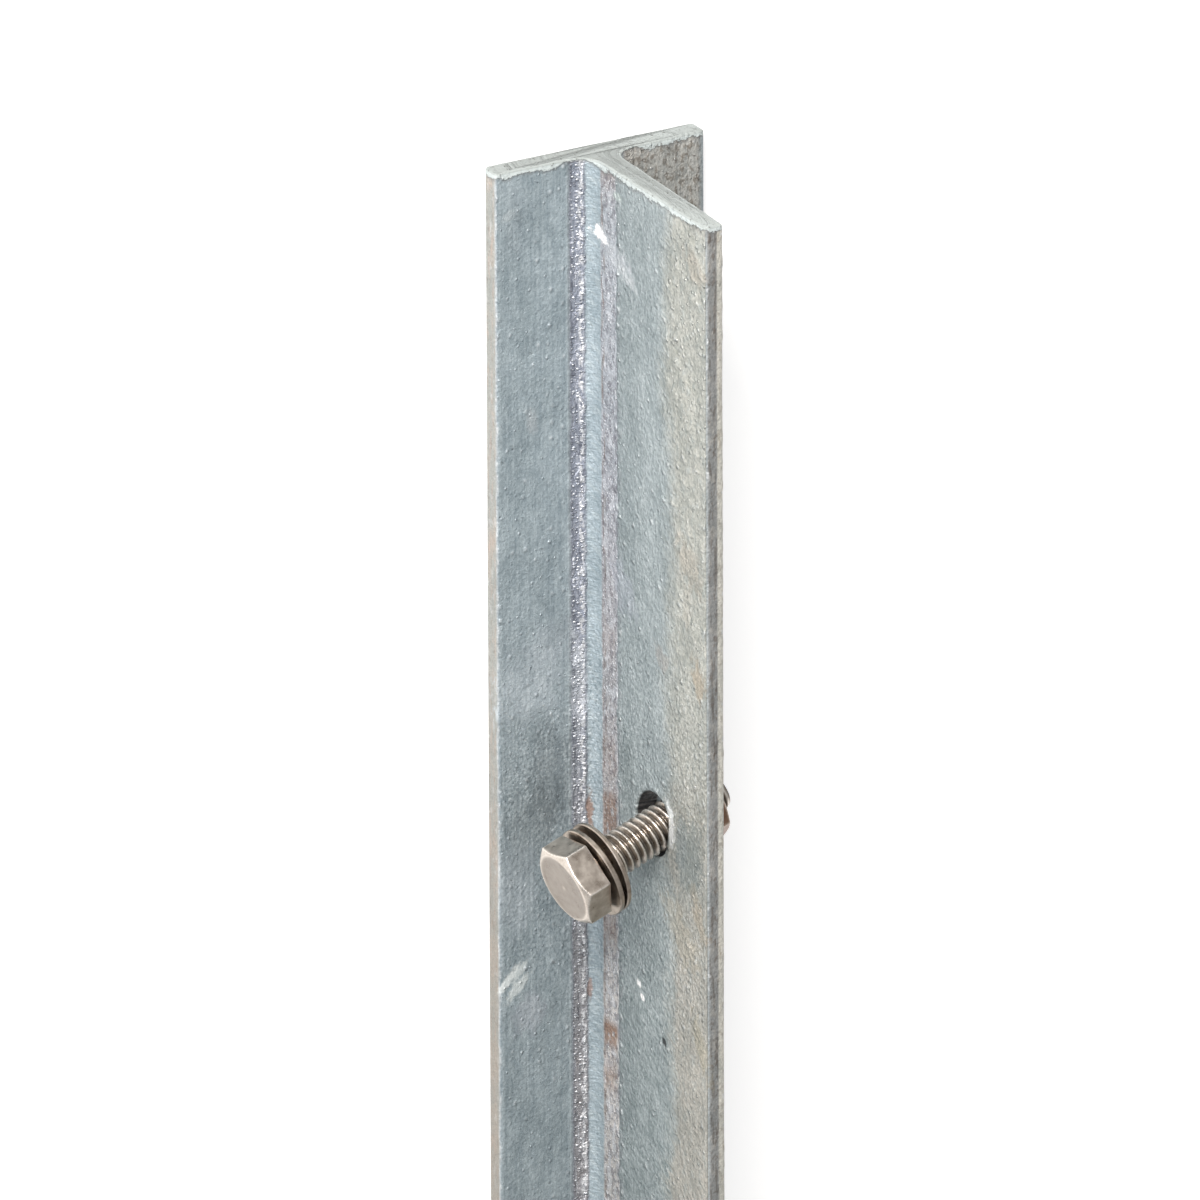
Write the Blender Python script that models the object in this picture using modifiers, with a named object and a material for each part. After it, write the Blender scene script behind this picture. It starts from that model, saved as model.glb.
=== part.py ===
"""T-profile earthing rod with its clamp screw: a hot-rolled steel T bar, zinc coated after cutting,
with a stainless hexagon screw, two flat washers and a thin hexagon nut hanging loose in the web's hole.

The rod lies on the back of its flange along X, top end towards +X, web upwards. Metres, +Z up.
The origin is on the flange's back at half length."""
import math

import bmesh
import bpy
from mathutils import Matrix, Vector

# T bar: section as rolled, with the usual slight taper of both legs towards their edges
ROD_LENGTH = 1.000
FLANGE_WIDTH = 0.040
BAR_HEIGHT = 0.040
FLANGE_THICKNESS = 0.0040      # at a quarter of the width
WEB_THICKNESS = 0.0040         # at half the height
FLANGE_SLOPE = 0.020           # rise of the flange's inner face per unit of width
WEB_SLOPE = 0.015              # lean of each web face per unit of height
ROOT_FILLET = 0.0040
BACK_ROUND = 0.0010
FLANGE_EDGE_ROUND = 0.0006
WEB_EDGE_ROUND = 0.0007

# ends: a saw cut a little out of square at the top, a mitre that leaves a driving edge at the bottom
TOP_CUT_ACROSS = math.radians(1.0)
TOP_CUT_ALONG_WEB = math.radians(0.7)
DRIVING_MITRE = math.radians(45)
SAW_STOCK = 0.004

# screw hole in the web
HOLE_FROM_TOP = 0.1121
HOLE_FROM_BACK = 0.0235
HOLE_CLEARANCE = 0.0032

# screw, full thread; the thread itself is drawn as its outer cylinder
THREAD_DIAMETER = 0.0078
HEAD_ACROSS_FLATS = 0.0130
HEAD_HEIGHT = 0.0053
SEAT_FACE_HEIGHT = 0.0004
SEAT_FACE_DIAMETER = 0.0116
HEAD_NECK_ROUND = 0.0003
THREAD_END_CHAMFER = 0.0008
THREAD_END_TAPER = 0.0018      # length over which the thread's end narrows
HEAD_TO_WEB = 0.0138           # open thread between the head's seat and the web, along the screw
THREAD_PAST_NUT = 0.0027

# thin nut
NUT_ACROSS_FLATS = 0.0130
NUT_HEIGHT = 0.0040
NUT_SLACK = 0.0004             # left open between the nut and the web, over the gap

# washers
WASHER_DIAMETER = 0.0160
WASHER_BORE_CLEARANCE = 0.0015
HEAD_WASHER_THICKNESS = 0.0009
WEB_WASHER_THICKNESS = 0.0008
WASHER_EDGE_BREAK = 0.00015
WEB_WASHER_TILT = math.radians(3.6)

# how the screw hangs in its hole
DROOP_SHARE = 0.4900           # share of the hole's play that the droop takes up
SCREW_YAW = math.radians(3.2)  # head end turned a little towards the web's edge
REST_ANGLE = math.radians(9.5) # where round the hole the thread rests, from the bottom side
HEAD_TURN = math.radians(6.1)
NUT_TURN = math.radians(45)

HEX_CHAMFER = math.radians(30)
CHAMFER_CIRCLE = 0.95          # chamfer circle over width across flats
HEX_BAR_STOCK = 0.0020         # hexagon bar left over each turned face
GAP = 0.0003                   # left between pieces that touch
ROUND_STEPS = 64

TOP_X = ROD_LENGTH / 2
FOOT_X = -ROD_LENGTH / 2
HOLE_X = TOP_X - HOLE_FROM_TOP
HOLE_DIAMETER = THREAD_DIAMETER + HOLE_CLEARANCE
WASHER_BORE = THREAD_DIAMETER + WASHER_BORE_CLEARANCE
NUT_BORE = THREAD_DIAMETER + 2 * GAP


def web_half_thickness(height):
    return WEB_THICKNESS / 2 + WEB_SLOPE * (BAR_HEIGHT / 2 - height)


# the screw droops as far as this share of its play in the hole allows
HOLE_PLAY = (HOLE_DIAMETER - THREAD_DIAMETER) / 2 - GAP
WEB_HALF = web_half_thickness(HOLE_FROM_BACK)
SCREW_DROOP = math.atan(DROOP_SHARE * HOLE_PLAY / WEB_HALF)
REST_OFFSET = (HOLE_DIAMETER - THREAD_DIAMETER / math.cos(SCREW_DROOP)) / 2 - GAP
NUT_CHAMFER_RADIUS = CHAMFER_CIRCLE * NUT_ACROSS_FLATS / 2
HALF_WEB_ALONG_SCREW = WEB_HALF / math.cos(SCREW_DROOP)
NUT_SEAT = (WEB_HALF + GAP + NUT_CHAMFER_RADIUS * math.sin(SCREW_DROOP)) / math.cos(SCREW_DROOP) + NUT_SLACK
HEAD_SEAT = HEAD_TO_WEB + HALF_WEB_ALONG_SCREW
THREAD_LENGTH = HEAD_SEAT + NUT_SEAT + NUT_HEIGHT + THREAD_PAST_NUT


def clear_scene():
    for old in list(bpy.data.objects):
        bpy.data.objects.remove(old, do_unlink=True)


def new_collection(name):
    group = bpy.data.collections.new(name)
    bpy.context.scene.collection.children.link(group)
    return group


def metal(name, colour, roughness, metallic):
    material = bpy.data.materials.new(name)
    material.use_nodes = True
    shader = material.node_tree.nodes["Principled BSDF"]
    shader.inputs["Base Color"].default_value = (*colour, 1.0)
    shader.inputs["Roughness"].default_value = roughness
    shader.inputs["Metallic"].default_value = metallic
    return material


def place(name, mesh, group, material=None):
    piece = bpy.data.objects.new(name, mesh)
    group.objects.link(piece)
    if material:
        mesh.materials.append(material)
    return piece


def as_cutter(piece):
    piece.hide_render = True
    piece.display_type = "WIRE"
    return piece


def boolean(piece, other, operation):
    step = piece.modifiers.new(operation.lower() + "_" + other.name, "BOOLEAN")
    step.operation = operation
    step.object = other
    step.solver = "EXACT"


def smooth_round_faces(mesh):
    mesh.shade_smooth()
    mesh.set_sharp_from_angle(angle=math.radians(30))


def rounded_corner(before, corner, after, radius, steps):
    """Arc of the given radius that replaces a corner between two straight edges."""
    towards_before = (before - corner).normalized()
    towards_after = (after - corner).normalized()
    half_angle = towards_before.angle(towards_after) / 2
    middle = (towards_before + towards_after).normalized()
    centre = corner + middle * (radius / math.sin(half_angle))
    start = corner + towards_before * (radius / math.tan(half_angle)) - centre
    end = corner + towards_after * (radius / math.tan(half_angle)) - centre
    sweep = start.angle_signed(end)
    points = []
    for step in range(steps + 1):
        angle = -sweep * step / steps
        turned = Vector((start.x * math.cos(angle) - start.y * math.sin(angle),
                         start.x * math.sin(angle) + start.y * math.cos(angle)))
        points.append(centre + turned)
    return points


def t_section():
    """Outline of the bar seen along its length: across the flange, then up the web."""
    half_width = FLANGE_WIDTH / 2
    edge_thickness = FLANGE_THICKNESS - FLANGE_SLOPE * FLANGE_WIDTH / 4
    toe_half = web_half_thickness(BAR_HEIGHT)
    # the sharp root corner lies where the flange's inner face meets the web's face
    flange_line = FLANGE_THICKNESS + FLANGE_SLOPE * FLANGE_WIDTH / 4
    root_half = (web_half_thickness(0) - WEB_SLOPE * flange_line) / (1 - WEB_SLOPE * FLANGE_SLOPE)
    root_height = flange_line - FLANGE_SLOPE * root_half
    right_side = [
        (Vector((half_width, 0)), BACK_ROUND, 4),
        (Vector((half_width, edge_thickness)), FLANGE_EDGE_ROUND, 4),
        (Vector((root_half, root_height)), ROOT_FILLET, 8),
        (Vector((toe_half, BAR_HEIGHT)), WEB_EDGE_ROUND, 4),
    ]
    left_side = [(Vector((-p.x, p.y)), r, n) for p, r, n in reversed(right_side)]
    corners = right_side + left_side
    outline = []
    for index, (corner, radius, steps) in enumerate(corners):
        before = corners[index - 1][0]
        after = corners[(index + 1) % len(corners)][0]
        outline += rounded_corner(before, corner, after, radius, steps)
    return outline


def bar_blank(group):
    """The rolled section, extruded a little past the top end for the saw cut."""
    outline = t_section()
    curve = bpy.data.curves.new("t_bar_section", "CURVE")
    curve.dimensions = "2D"
    curve.fill_mode = "BOTH"
    curve.extrude = (ROD_LENGTH + SAW_STOCK) / 2
    spline = curve.splines.new("POLY")
    spline.points.add(len(outline) - 1)
    spline.points.foreach_set("co", [value for p in outline for value in (p.x, p.y, 0, 1)])
    spline.use_cyclic_u = True
    guide = place("t_bar_guide", curve, group)
    guide.rotation_euler = (math.pi / 2, 0, math.pi / 2)
    guide.location = ((TOP_X + FOOT_X + SAW_STOCK) / 2, 0, 0)
    bpy.context.view_layer.update()
    evaluated = guide.evaluated_get(bpy.context.evaluated_depsgraph_get())
    mesh = bpy.data.meshes.new_from_object(evaluated)
    matrix = guide.matrix_world.copy()
    bpy.data.objects.remove(guide, do_unlink=True)
    shape = bmesh.new()
    shape.from_mesh(mesh)
    bmesh.ops.remove_doubles(shape, verts=shape.verts, dist=1e-6)
    bmesh.ops.transform(shape, matrix=matrix, verts=shape.verts)
    bmesh.ops.recalc_face_normals(shape, faces=shape.faces)
    shape.to_mesh(mesh)
    shape.free()
    mesh.materials.clear()
    return mesh


def half_space(name, group):
    """A block that fills its own +X side and is large enough to take off a whole end."""
    reach = 3 * (FLANGE_WIDTH + BAR_HEIGHT)
    shape = bmesh.new()
    bmesh.ops.create_cube(shape, size=reach)
    bmesh.ops.translate(shape, vec=(reach / 2, 0, 0), verts=shape.verts)
    mesh = bpy.data.meshes.new(name)
    shape.to_mesh(mesh)
    shape.free()
    return as_cutter(place(name, mesh, group))


def top_saw_cut(group):
    cutter = half_space("top_saw_cut", group)
    cutter.location = (TOP_X, 0, 0)
    cutter.rotation_euler = (0, -TOP_CUT_ALONG_WEB, -TOP_CUT_ACROSS)
    return cutter


def driving_mitre_cut(group):
    """The mitre starts at the flange's back and runs up and back through the web."""
    cutter = half_space("driving_mitre_cut", group)
    cutter.location = (FOOT_X, 0, 0)
    cutter.rotation_euler = (0, DRIVING_MITRE - math.pi, 0)
    return cutter


def screw_hole_cut(group):
    shape = bmesh.new()
    radius = HOLE_DIAMETER / 2
    bmesh.ops.create_cone(shape, cap_ends=True, segments=ROUND_STEPS, radius1=radius, radius2=radius,
                          depth=4 * WEB_THICKNESS)
    mesh = bpy.data.meshes.new("screw_hole_cut")
    shape.to_mesh(mesh)
    shape.free()
    cutter = as_cutter(place("screw_hole_cut", mesh, group))
    cutter.location = (HOLE_X, 0, HOLE_FROM_BACK)
    cutter.rotation_euler = (math.pi / 2, 0, 0)
    return cutter


def build_rod(parts, cutters):
    zinc = metal("hot_dip_zinc", (0.36, 0.39, 0.40), 0.42, 0.85)
    rod = place("t_profile_rod", bar_blank(parts), parts, zinc)
    boolean(rod, top_saw_cut(cutters), "DIFFERENCE")
    boolean(rod, driving_mitre_cut(cutters), "DIFFERENCE")
    boolean(rod, screw_hole_cut(cutters), "DIFFERENCE")
    smooth_round_faces(rod.data)
    return rod


def screw_axis(group):
    """Empty where the screw crosses the middle of the web; its +Z points to the head, its +X up."""
    level = math.cos(SCREW_DROOP)
    towards_head = Vector((-math.sin(SCREW_DROOP), level * math.cos(SCREW_YAW), level * math.sin(SCREW_YAW)))
    at_face = Vector((HOLE_X - REST_OFFSET * math.cos(REST_ANGLE), WEB_HALF,
                      HOLE_FROM_BACK + REST_OFFSET * math.sin(REST_ANGLE)))
    axis = bpy.data.objects.new("screw_axis", None)
    group.objects.link(axis)
    axis.rotation_mode = "QUATERNION"
    axis.location = at_face - towards_head * (WEB_HALF / towards_head.y)
    axis.rotation_quaternion = towards_head.to_track_quat("Z", "X")
    return axis


def on_axis(piece, axis, along, turn=0.0):
    piece.parent = axis
    piece.location = (0, 0, along)
    piece.rotation_euler = (0, 0, turn)


def turned(name, profile, group, material=None, closed=False):
    """Solid of revolution about Z from (radius, height) points, listed down its outer side."""
    mesh = bpy.data.meshes.new(name)
    count = len(profile)
    edges = [(i, i + 1) for i in range(count - 1)]
    if closed:
        edges.append((count - 1, 0))
    mesh.from_pydata([(radius, 0, height) for radius, height in profile], edges, [])
    piece = place(name, mesh, group, material)
    spin = piece.modifiers.new("revolve", "SCREW")
    spin.axis = "Z"
    spin.steps = ROUND_STEPS
    spin.render_steps = ROUND_STEPS
    spin.use_merge_vertices = True
    spin.merge_threshold = 0.000001
    spin.use_smooth_shade = True
    return piece


def hex_prism(name, across_flats, low, high, group, material=None):
    """Hexagonal prism about Z with one corner at +X."""
    shape = bmesh.new()
    radius = across_flats / math.sqrt(3)
    bmesh.ops.create_cone(shape, cap_ends=True, segments=6, radius1=radius, radius2=radius,
                          depth=high - low)
    bmesh.ops.rotate(shape, cent=(0, 0, 0), matrix=Matrix.Rotation(math.pi / 6, 3, "Z"), verts=shape.verts)
    bmesh.ops.translate(shape, vec=(0, 0, (low + high) / 2), verts=shape.verts)
    mesh = bpy.data.meshes.new(name)
    shape.to_mesh(mesh)
    shape.free()
    return place(name, mesh, group, material)


def past_corners(across_flats):
    """A radius just outside a hexagon's corners."""
    return 1.03 * across_flats / math.sqrt(3)


def chamfer_drop(across_flats, reach):
    """Height that a hexagon's chamfer has fallen at the given radius."""
    return (reach - CHAMFER_CIRCLE * across_flats / 2) * math.tan(HEX_CHAMFER)


def build_screw(axis, parts, cutters):
    """Fully threaded hexagon screw: its own z = 0 is the seat under the head."""
    steel = metal("stainless_steel_screw", (0.55, 0.52, 0.48), 0.30, 1.0)
    bar_top = HEAD_HEIGHT + HEX_BAR_STOCK
    head = hex_prism("hex_bolt", HEAD_ACROSS_FLATS, SEAT_FACE_HEIGHT, bar_top, parts, steel)
    reach = past_corners(HEAD_ACROSS_FLATS)
    rim = CHAMFER_CIRCLE * HEAD_ACROSS_FLATS / 2
    low = -HEAD_HEIGHT
    face = turned("head_chamfer", [(0, HEAD_HEIGHT), (rim, HEAD_HEIGHT),
                                   (reach, HEAD_HEIGHT - chamfer_drop(HEAD_ACROSS_FLATS, reach)),
                                   (reach, low), (0, low)], cutters)
    radius = THREAD_DIAMETER / 2
    neck = radius + HEAD_NECK_ROUND
    inside_head = (SEAT_FACE_HEIGHT + HEAD_HEIGHT) / 2
    shank = turned("threaded_shank", [(0, inside_head), (SEAT_FACE_DIAMETER / 2, inside_head),
                                      (SEAT_FACE_DIAMETER / 2, 0), (neck, 0), (radius, -HEAD_NECK_ROUND),
                                      (radius, -THREAD_LENGTH + THREAD_END_TAPER),
                                      (radius - THREAD_END_CHAMFER, -THREAD_LENGTH), (0, -THREAD_LENGTH)],
                   cutters)
    boolean(head, face, "INTERSECT")
    boolean(head, shank, "UNION")
    for part in (head, face, shank):
        on_axis(part, axis, HEAD_SEAT, HEAD_TURN)
    for guide in (face, shank):
        as_cutter(guide)
    smooth_round_faces(head.data)
    return head


def build_nut(axis, parts, cutters):
    """Thin nut, chamfered on both sides, on the thread behind the web."""
    steel = metal("stainless_steel_nut", (0.52, 0.49, 0.45), 0.32, 1.0)
    bar_top = NUT_HEIGHT + HEX_BAR_STOCK
    nut = hex_prism("hex_nut", NUT_ACROSS_FLATS, -HEX_BAR_STOCK, bar_top, parts, steel)
    reach = past_corners(NUT_ACROSS_FLATS)
    drop = chamfer_drop(NUT_ACROSS_FLATS, reach)
    shape = turned("nut_chamfers", [(0, NUT_HEIGHT), (NUT_CHAMFER_RADIUS, NUT_HEIGHT),
                                    (reach, NUT_HEIGHT - drop), (reach, drop), (NUT_CHAMFER_RADIUS, 0),
                                    (0, 0)], cutters)
    over = NUT_HEIGHT
    bore = turned("nut_bore", [(0, NUT_HEIGHT + over), (NUT_BORE / 2, NUT_HEIGHT + over),
                               (NUT_BORE / 2, -over), (0, -over)], cutters)
    boolean(nut, shape, "INTERSECT")
    boolean(nut, bore, "DIFFERENCE")
    for part in (nut, shape, bore):
        on_axis(part, axis, -NUT_SEAT - NUT_HEIGHT, NUT_TURN)
    for guide in (shape, bore):
        as_cutter(guide)
    smooth_round_faces(nut.data)
    return nut


def washer_profile(thickness):
    inner = WASHER_BORE / 2
    outer = WASHER_DIAMETER / 2
    soft = WASHER_EDGE_BREAK
    return [(inner + soft, thickness), (outer - soft, thickness), (outer, thickness - soft), (outer, soft),
            (outer - soft, 0), (inner + soft, 0), (inner, soft), (inner, thickness - soft)]


def build_washers(axis, parts):
    """Both hang by their bores on the thread, towards the rod's foot; the one near the web leans."""
    steel = metal("stainless_steel_washer", (0.50, 0.47, 0.43), 0.34, 1.0)
    hang = (WASHER_BORE - THREAD_DIAMETER) / 2 - GAP
    head_side = turned("washer_head_side", washer_profile(HEAD_WASHER_THICKNESS), parts, steel, closed=True)
    on_axis(head_side, axis, HEAD_SEAT - GAP - HEAD_WASHER_THICKNESS)
    head_side.location.y = -hang
    # the leaning washer turns about its side towards the foot, so that its lowest edge keeps the gap
    lean_room = math.sin(WEB_WASHER_TILT) * WASHER_DIAMETER / 2
    web_side = turned("washer_web_side", washer_profile(WEB_WASHER_THICKNESS), parts, steel, closed=True)
    on_axis(web_side, axis, HEAD_SEAT - 2 * GAP - HEAD_WASHER_THICKNESS - lean_room - WEB_WASHER_THICKNESS)
    web_side.location.y = -hang
    web_side.rotation_euler = (-WEB_WASHER_TILT, 0, 0)
    return head_side, web_side


def build():
    clear_scene()
    parts = new_collection("t_profile_earthing_rod")
    cutters = new_collection("cutters")
    build_rod(parts, cutters)
    axis = screw_axis(parts)
    build_screw(axis, parts, cutters)
    build_washers(axis, parts)
    build_nut(axis, parts, cutters)
    bpy.context.view_layer.update()


build()
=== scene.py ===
import math

import bpy
import numpy as np
from mathutils import Euler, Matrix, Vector


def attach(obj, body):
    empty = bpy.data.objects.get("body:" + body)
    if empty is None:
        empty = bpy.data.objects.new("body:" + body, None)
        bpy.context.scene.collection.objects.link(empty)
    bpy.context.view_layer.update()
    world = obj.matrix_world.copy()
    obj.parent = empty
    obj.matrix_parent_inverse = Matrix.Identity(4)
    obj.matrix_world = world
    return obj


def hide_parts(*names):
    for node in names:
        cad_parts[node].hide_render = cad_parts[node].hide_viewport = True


# T-profile earthing rod: a zinc dipped T bar with its stainless clamp screw hanging loose in the web.
# The rod lies on its flange along X, top end towards +X, web up. Shapes are worked out in millimetres.
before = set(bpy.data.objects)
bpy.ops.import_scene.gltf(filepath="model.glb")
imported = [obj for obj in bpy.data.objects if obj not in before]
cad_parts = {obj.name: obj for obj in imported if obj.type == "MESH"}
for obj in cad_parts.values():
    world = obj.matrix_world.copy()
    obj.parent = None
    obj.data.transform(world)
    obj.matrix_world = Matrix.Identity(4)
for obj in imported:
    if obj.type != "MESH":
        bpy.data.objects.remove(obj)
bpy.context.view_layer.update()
millimetre = 0.001
print("frame ready:", sorted(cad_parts))


def linearColour(hexCode):
    # sRGB to linear: value / 12.92 in the dark toe, ((value + 0.055) / 1.055) ^ 2.4 above it
    raw = np.array([int(hexCode[i:i + 2], 16) for i in (1, 3, 5)]) / 255
    linear = np.where(raw <= 0.04045, raw / 12.92, ((raw + 0.055) / 1.055) ** 2.4)
    return (*linear.tolist(), 1.0)


def addNode(tree, kind, settings=None, links=None, output=0, **properties):
    # one node of any kind: its properties, then fixed input values, then links into its inputs; gives one output
    node = tree.nodes.new("ShaderNode" + kind)
    for name, value in properties.items():
        setattr(node, name, value)
    for key, value in (settings or {}).items():
        node.inputs[key].default_value = value
    for key, socket in (links or {}).items():
        tree.links.new(socket, node.inputs[key])
    return node.outputs[output]


def smoothStep(low, high, value):
    # 0 below low, 1 above high, and 3t^2 - 2t^3 between them
    t = np.clip((value - low) / (high - low), 0, 1)
    return t * t * (3 - 2 * t)


def cellNumber(i, j, seed):
    # a repeatable number from 0 to 1 for each lattice cell, by mixing the bits of its two indices
    mixed = (i.astype(np.int64) * 374761393 + j.astype(np.int64) * 668265263 + seed * 974634777) & 0xffffffff
    mixed = ((mixed ^ (mixed >> 13)) * 1274126177) & 0xffffffff
    return ((mixed ^ (mixed >> 16)) & 0xffff) / 65535


def softNoise(u, v, seed):
    # lattice values at the four corners of each unit cell, blended by smooth steps, from -1 to 1
    i, j = np.floor(u), np.floor(v)
    a, b = smoothStep(0, 1, u - i), smoothStep(0, 1, v - j)
    low = cellNumber(i, j, seed) * (1 - a) + cellNumber(i + 1, j, seed) * a
    high = cellNumber(i, j + 1, seed) * (1 - a) + cellNumber(i + 1, j + 1, seed) * a
    return 2 * (low * (1 - b) + high * b) - 1


def scatteredDrops(u, v, share, seed):
    # one rounded drop of height (1 - d^2/r^2)^2 at a random place in some of the unit cells
    i, j = np.floor(u), np.floor(v)
    height = np.zeros_like(u)
    for di in (-1, 0, 1):
        for dj in (-1, 0, 1):
            ci, cj = i + di, j + dj
            du = u - ci - 0.2 - 0.6 * cellNumber(ci, cj, seed)
            dv = v - cj - 0.2 - 0.6 * cellNumber(ci, cj, seed + 1)
            radius = 0.28 + 0.32 * cellNumber(ci, cj, seed + 2)
            there = cellNumber(ci, cj, seed + 3) < share
            drop = np.clip(1 - (du * du + dv * dv) / radius ** 2, 0, 1) ** 2
            height = np.maximum(height, np.where(there, drop * (0.45 + 0.55 * cellNumber(ci, cj, seed + 4)), 0))
    return height


def gridFaces(rows, columns, wrapRows=False, wrapColumns=True):
    # cell (i, j) joins (i, j), (i, j+1), (i+1, j+1) and (i+1, j); indices wrap where the surface closes
    i = np.arange(rows if wrapRows else rows - 1)[:, None]
    j = np.arange(columns if wrapColumns else columns - 1)[None, :]
    nextRow, nextColumn = (i + 1) % rows, (j + 1) % columns
    cells = [i * columns + j, i * columns + nextColumn, nextRow * columns + nextColumn, nextRow * columns + j]
    return np.stack(np.broadcast_arrays(*cells), -1).reshape(-1, 4)


def makePiece(name, points, faceGroups, material, node, cornerMap=None, sharpAngle=None, pointValues={}):
    # points in millimetres and arrays of faces with 3, 4 or more corners become one smooth mesh
    mesh = bpy.data.meshes.new(name)
    corners = np.concatenate([group.ravel() for group in faceGroups]).astype(np.int32)
    sizes = np.concatenate([np.full(len(group), group.shape[1]) for group in faceGroups])
    starts = np.concatenate([[0], np.cumsum(sizes)[:-1]]).astype(np.int32)
    mesh.vertices.add(len(points))
    mesh.vertices.foreach_set("co", (points * millimetre).astype(np.float32).ravel())
    mesh.loops.add(len(corners))
    mesh.loops.foreach_set("vertex_index", corners)
    mesh.polygons.add(len(sizes))
    mesh.polygons.foreach_set("loop_start", starts)
    mesh.update(calc_edges=True)
    if cornerMap is not None:
        layer = mesh.uv_layers.new(name="profileMap")
        layer.data.foreach_set("uv", cornerMap(corners, starts, sizes).astype(np.float32).ravel())
    for valueName, values in pointValues.items():
        layer = mesh.attributes.new(valueName, "FLOAT", "POINT")
        layer.data.foreach_set("value", values.astype(np.float32).ravel())
    mesh.validate()
    mesh.shade_smooth()
    if sharpAngle:
        mesh.set_sharp_from_angle(angle=math.radians(sharpAngle))
    mesh.materials.append(material)
    piece = bpy.data.objects.new(name, mesh)
    bpy.context.scene.collection.objects.link(piece)
    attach(piece, "root")
    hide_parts(node)
    print(name, "has", len(points), "points and", int((sizes - 2).sum()), "triangles")
    return piece


bar = {
    "topX": 500.0, "footX": -500.0, "width": 40.0, "height": 40.0,
    "flangeThickness": 4.0, "webThickness": 4.0, "flangeSlope": 0.020, "webSlope": 0.015,
    "rootFillet": 4.0, "backRound": 1.0, "flangeEdgeRound": 0.6, "webEdgeRound": 0.7,
    "topAcrossDeg": 1.0, "topAlongWebDeg": 0.7,      # saw cut a little out of square
    "holeX": 387.9, "holeZ": 23.5, "holeRadius": 5.5,
    "cell": 0.6, "coarseCell": 9.0, "fineFromX": 300.0,
    "endRound": 0.30,                                # zinc rounds the sawn edges
    "latticeLow": 24, "latticeHigh": 25,
    "openCells": 7, "squareCells": 13,               # cells from the hole's middle to its rim and to the lattice
    "lipReach": 1.3, "lipTurnDeg": 98, "lipSpreadDeg": 66,   # run of zinc that narrows the hole's upper side
    "rimRoll": 0.22, "rimSwell": 0.16,               # how the zinc rounds and thickens the hole's edge
    "topLean": 12.0, "footLean": 60.0, "arcPoints": 41,
    # columns along each stretch of the section, from the back's middle to the web: near side, then far side
    "stretchColumns": ([8, 4, 3, 4, 22, 15], [8, 3, 2, 3, 12, 9]),
}


def webHalf(z):
    return bar["webThickness"] / 2 + bar["webSlope"] * (bar["height"] / 2 - z)


def barOutline():
    # section seen along the bar: straight legs joined by arcs, given as dense points with their normals,
    # from the middle of the flange's back round its +Y edge, up the web, over its toe and down again
    half, edge = bar["width"] / 2, bar["flangeThickness"] - bar["flangeSlope"] * bar["width"] / 4
    line = bar["flangeThickness"] + bar["flangeSlope"] * bar["width"] / 4
    rootY = (webHalf(0) - bar["webSlope"] * line) / (1 - bar["webSlope"] * bar["flangeSlope"])
    right = [((half, 0.0), bar["backRound"]), ((half, edge), bar["flangeEdgeRound"]),
             ((rootY, line - bar["flangeSlope"] * rootY), bar["rootFillet"]),
             ((webHalf(bar["height"]), bar["height"]), bar["webEdgeRound"])]
    left = [((-point[0], point[1]), radius) for point, radius in reversed(right)]
    corners = [((0.0, 0.0), 0)] + right + left + [((0.0, 0.0), 0)]
    points, marks = [np.array([[0.0, 0.0]])], [0.0]
    for k in range(1, len(corners) - 1):
        before, corner, after = (np.array(corners[m][0]) for m in (k - 1, k, k + 1))
        radius = corners[k][1]
        a, b = before - corner, after - corner
        a, b = a / np.linalg.norm(a), b / np.linalg.norm(b)
        halfAngle = math.acos(np.clip(a @ b, -1, 1)) / 2
        centre = corner + (a + b) / np.linalg.norm(a + b) * radius / math.sin(halfAngle)
        start = corner + a * radius / math.tan(halfAngle) - centre
        turn = math.pi - 2 * halfAngle
        side = 1 if a[0] * b[1] - a[1] * b[0] < 0 else -1
        angle = side * np.linspace(0, turn, bar["arcPoints"])[:, None]
        arc = np.hstack([start[0] * np.cos(angle) - start[1] * np.sin(angle),
                         start[0] * np.sin(angle) + start[1] * np.cos(angle)]) + centre
        points.append(arc)
    points.append(np.array([[0.0, 0.0]]))
    outline = np.vstack(points)
    along = np.concatenate([[0], np.cumsum(np.linalg.norm(np.diff(outline, axis=0), axis=1))])
    for k in range(8):                               # where each arc starts and ends
        marks += [along[1 + bar["arcPoints"] * k], along[bar["arcPoints"] * (k + 1)]]
    return outline, along, np.array(marks + [along[-1]])


outline, outlineAlong, outlineMarks = barOutline()
girth = outlineAlong[-1]
toeMiddle = girth / 2


def sectionAt(places):
    # the outline's point at each distance round the section
    return np.interp(places, outlineAlong, outline[:, 0]), np.interp(places, outlineAlong, outline[:, 1])


def columnPlaces():
    # places along the section: close together where the eye goes, and on the hole's lattice on both web faces
    m = outlineMarks
    webLow, webHigh = m[6], m[7]
    zLow, zHigh = sectionAt(webLow)[1], sectionAt(webHigh)[1]
    lattice = bar["holeZ"] + bar["cell"] * np.arange(-bar["latticeLow"], bar["latticeHigh"] + 1)
    lattice = np.concatenate([[zLow, (zLow + lattice[0]) / 2], lattice])
    onWeb = webLow + (lattice - zLow) * (webHigh - webLow) / (zHigh - zLow)
    toe = np.concatenate([np.linspace(m[7], m[8], 6)[:-1], np.linspace(m[8], toeMiddle, 3)[:-1]])
    halves = []
    for counts in bar["stretchColumns"]:
        parts = [np.linspace(m[k], m[k + 1], counts[k] + 1)[:-1] for k in range(6)]
        halves.append(np.concatenate(parts + [onWeb, toe]))
    places = np.concatenate([halves[0], [toeMiddle], girth - halves[1][:0:-1]])
    centreNear = len(halves[0]) - len(toe) - len(onWeb) + 2 + bar["latticeLow"]
    centreFar = len(places) - (len(halves[1]) - len(toe) - len(onWeb) + 2 + bar["latticeLow"])
    return places, centreNear, centreFar


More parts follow.
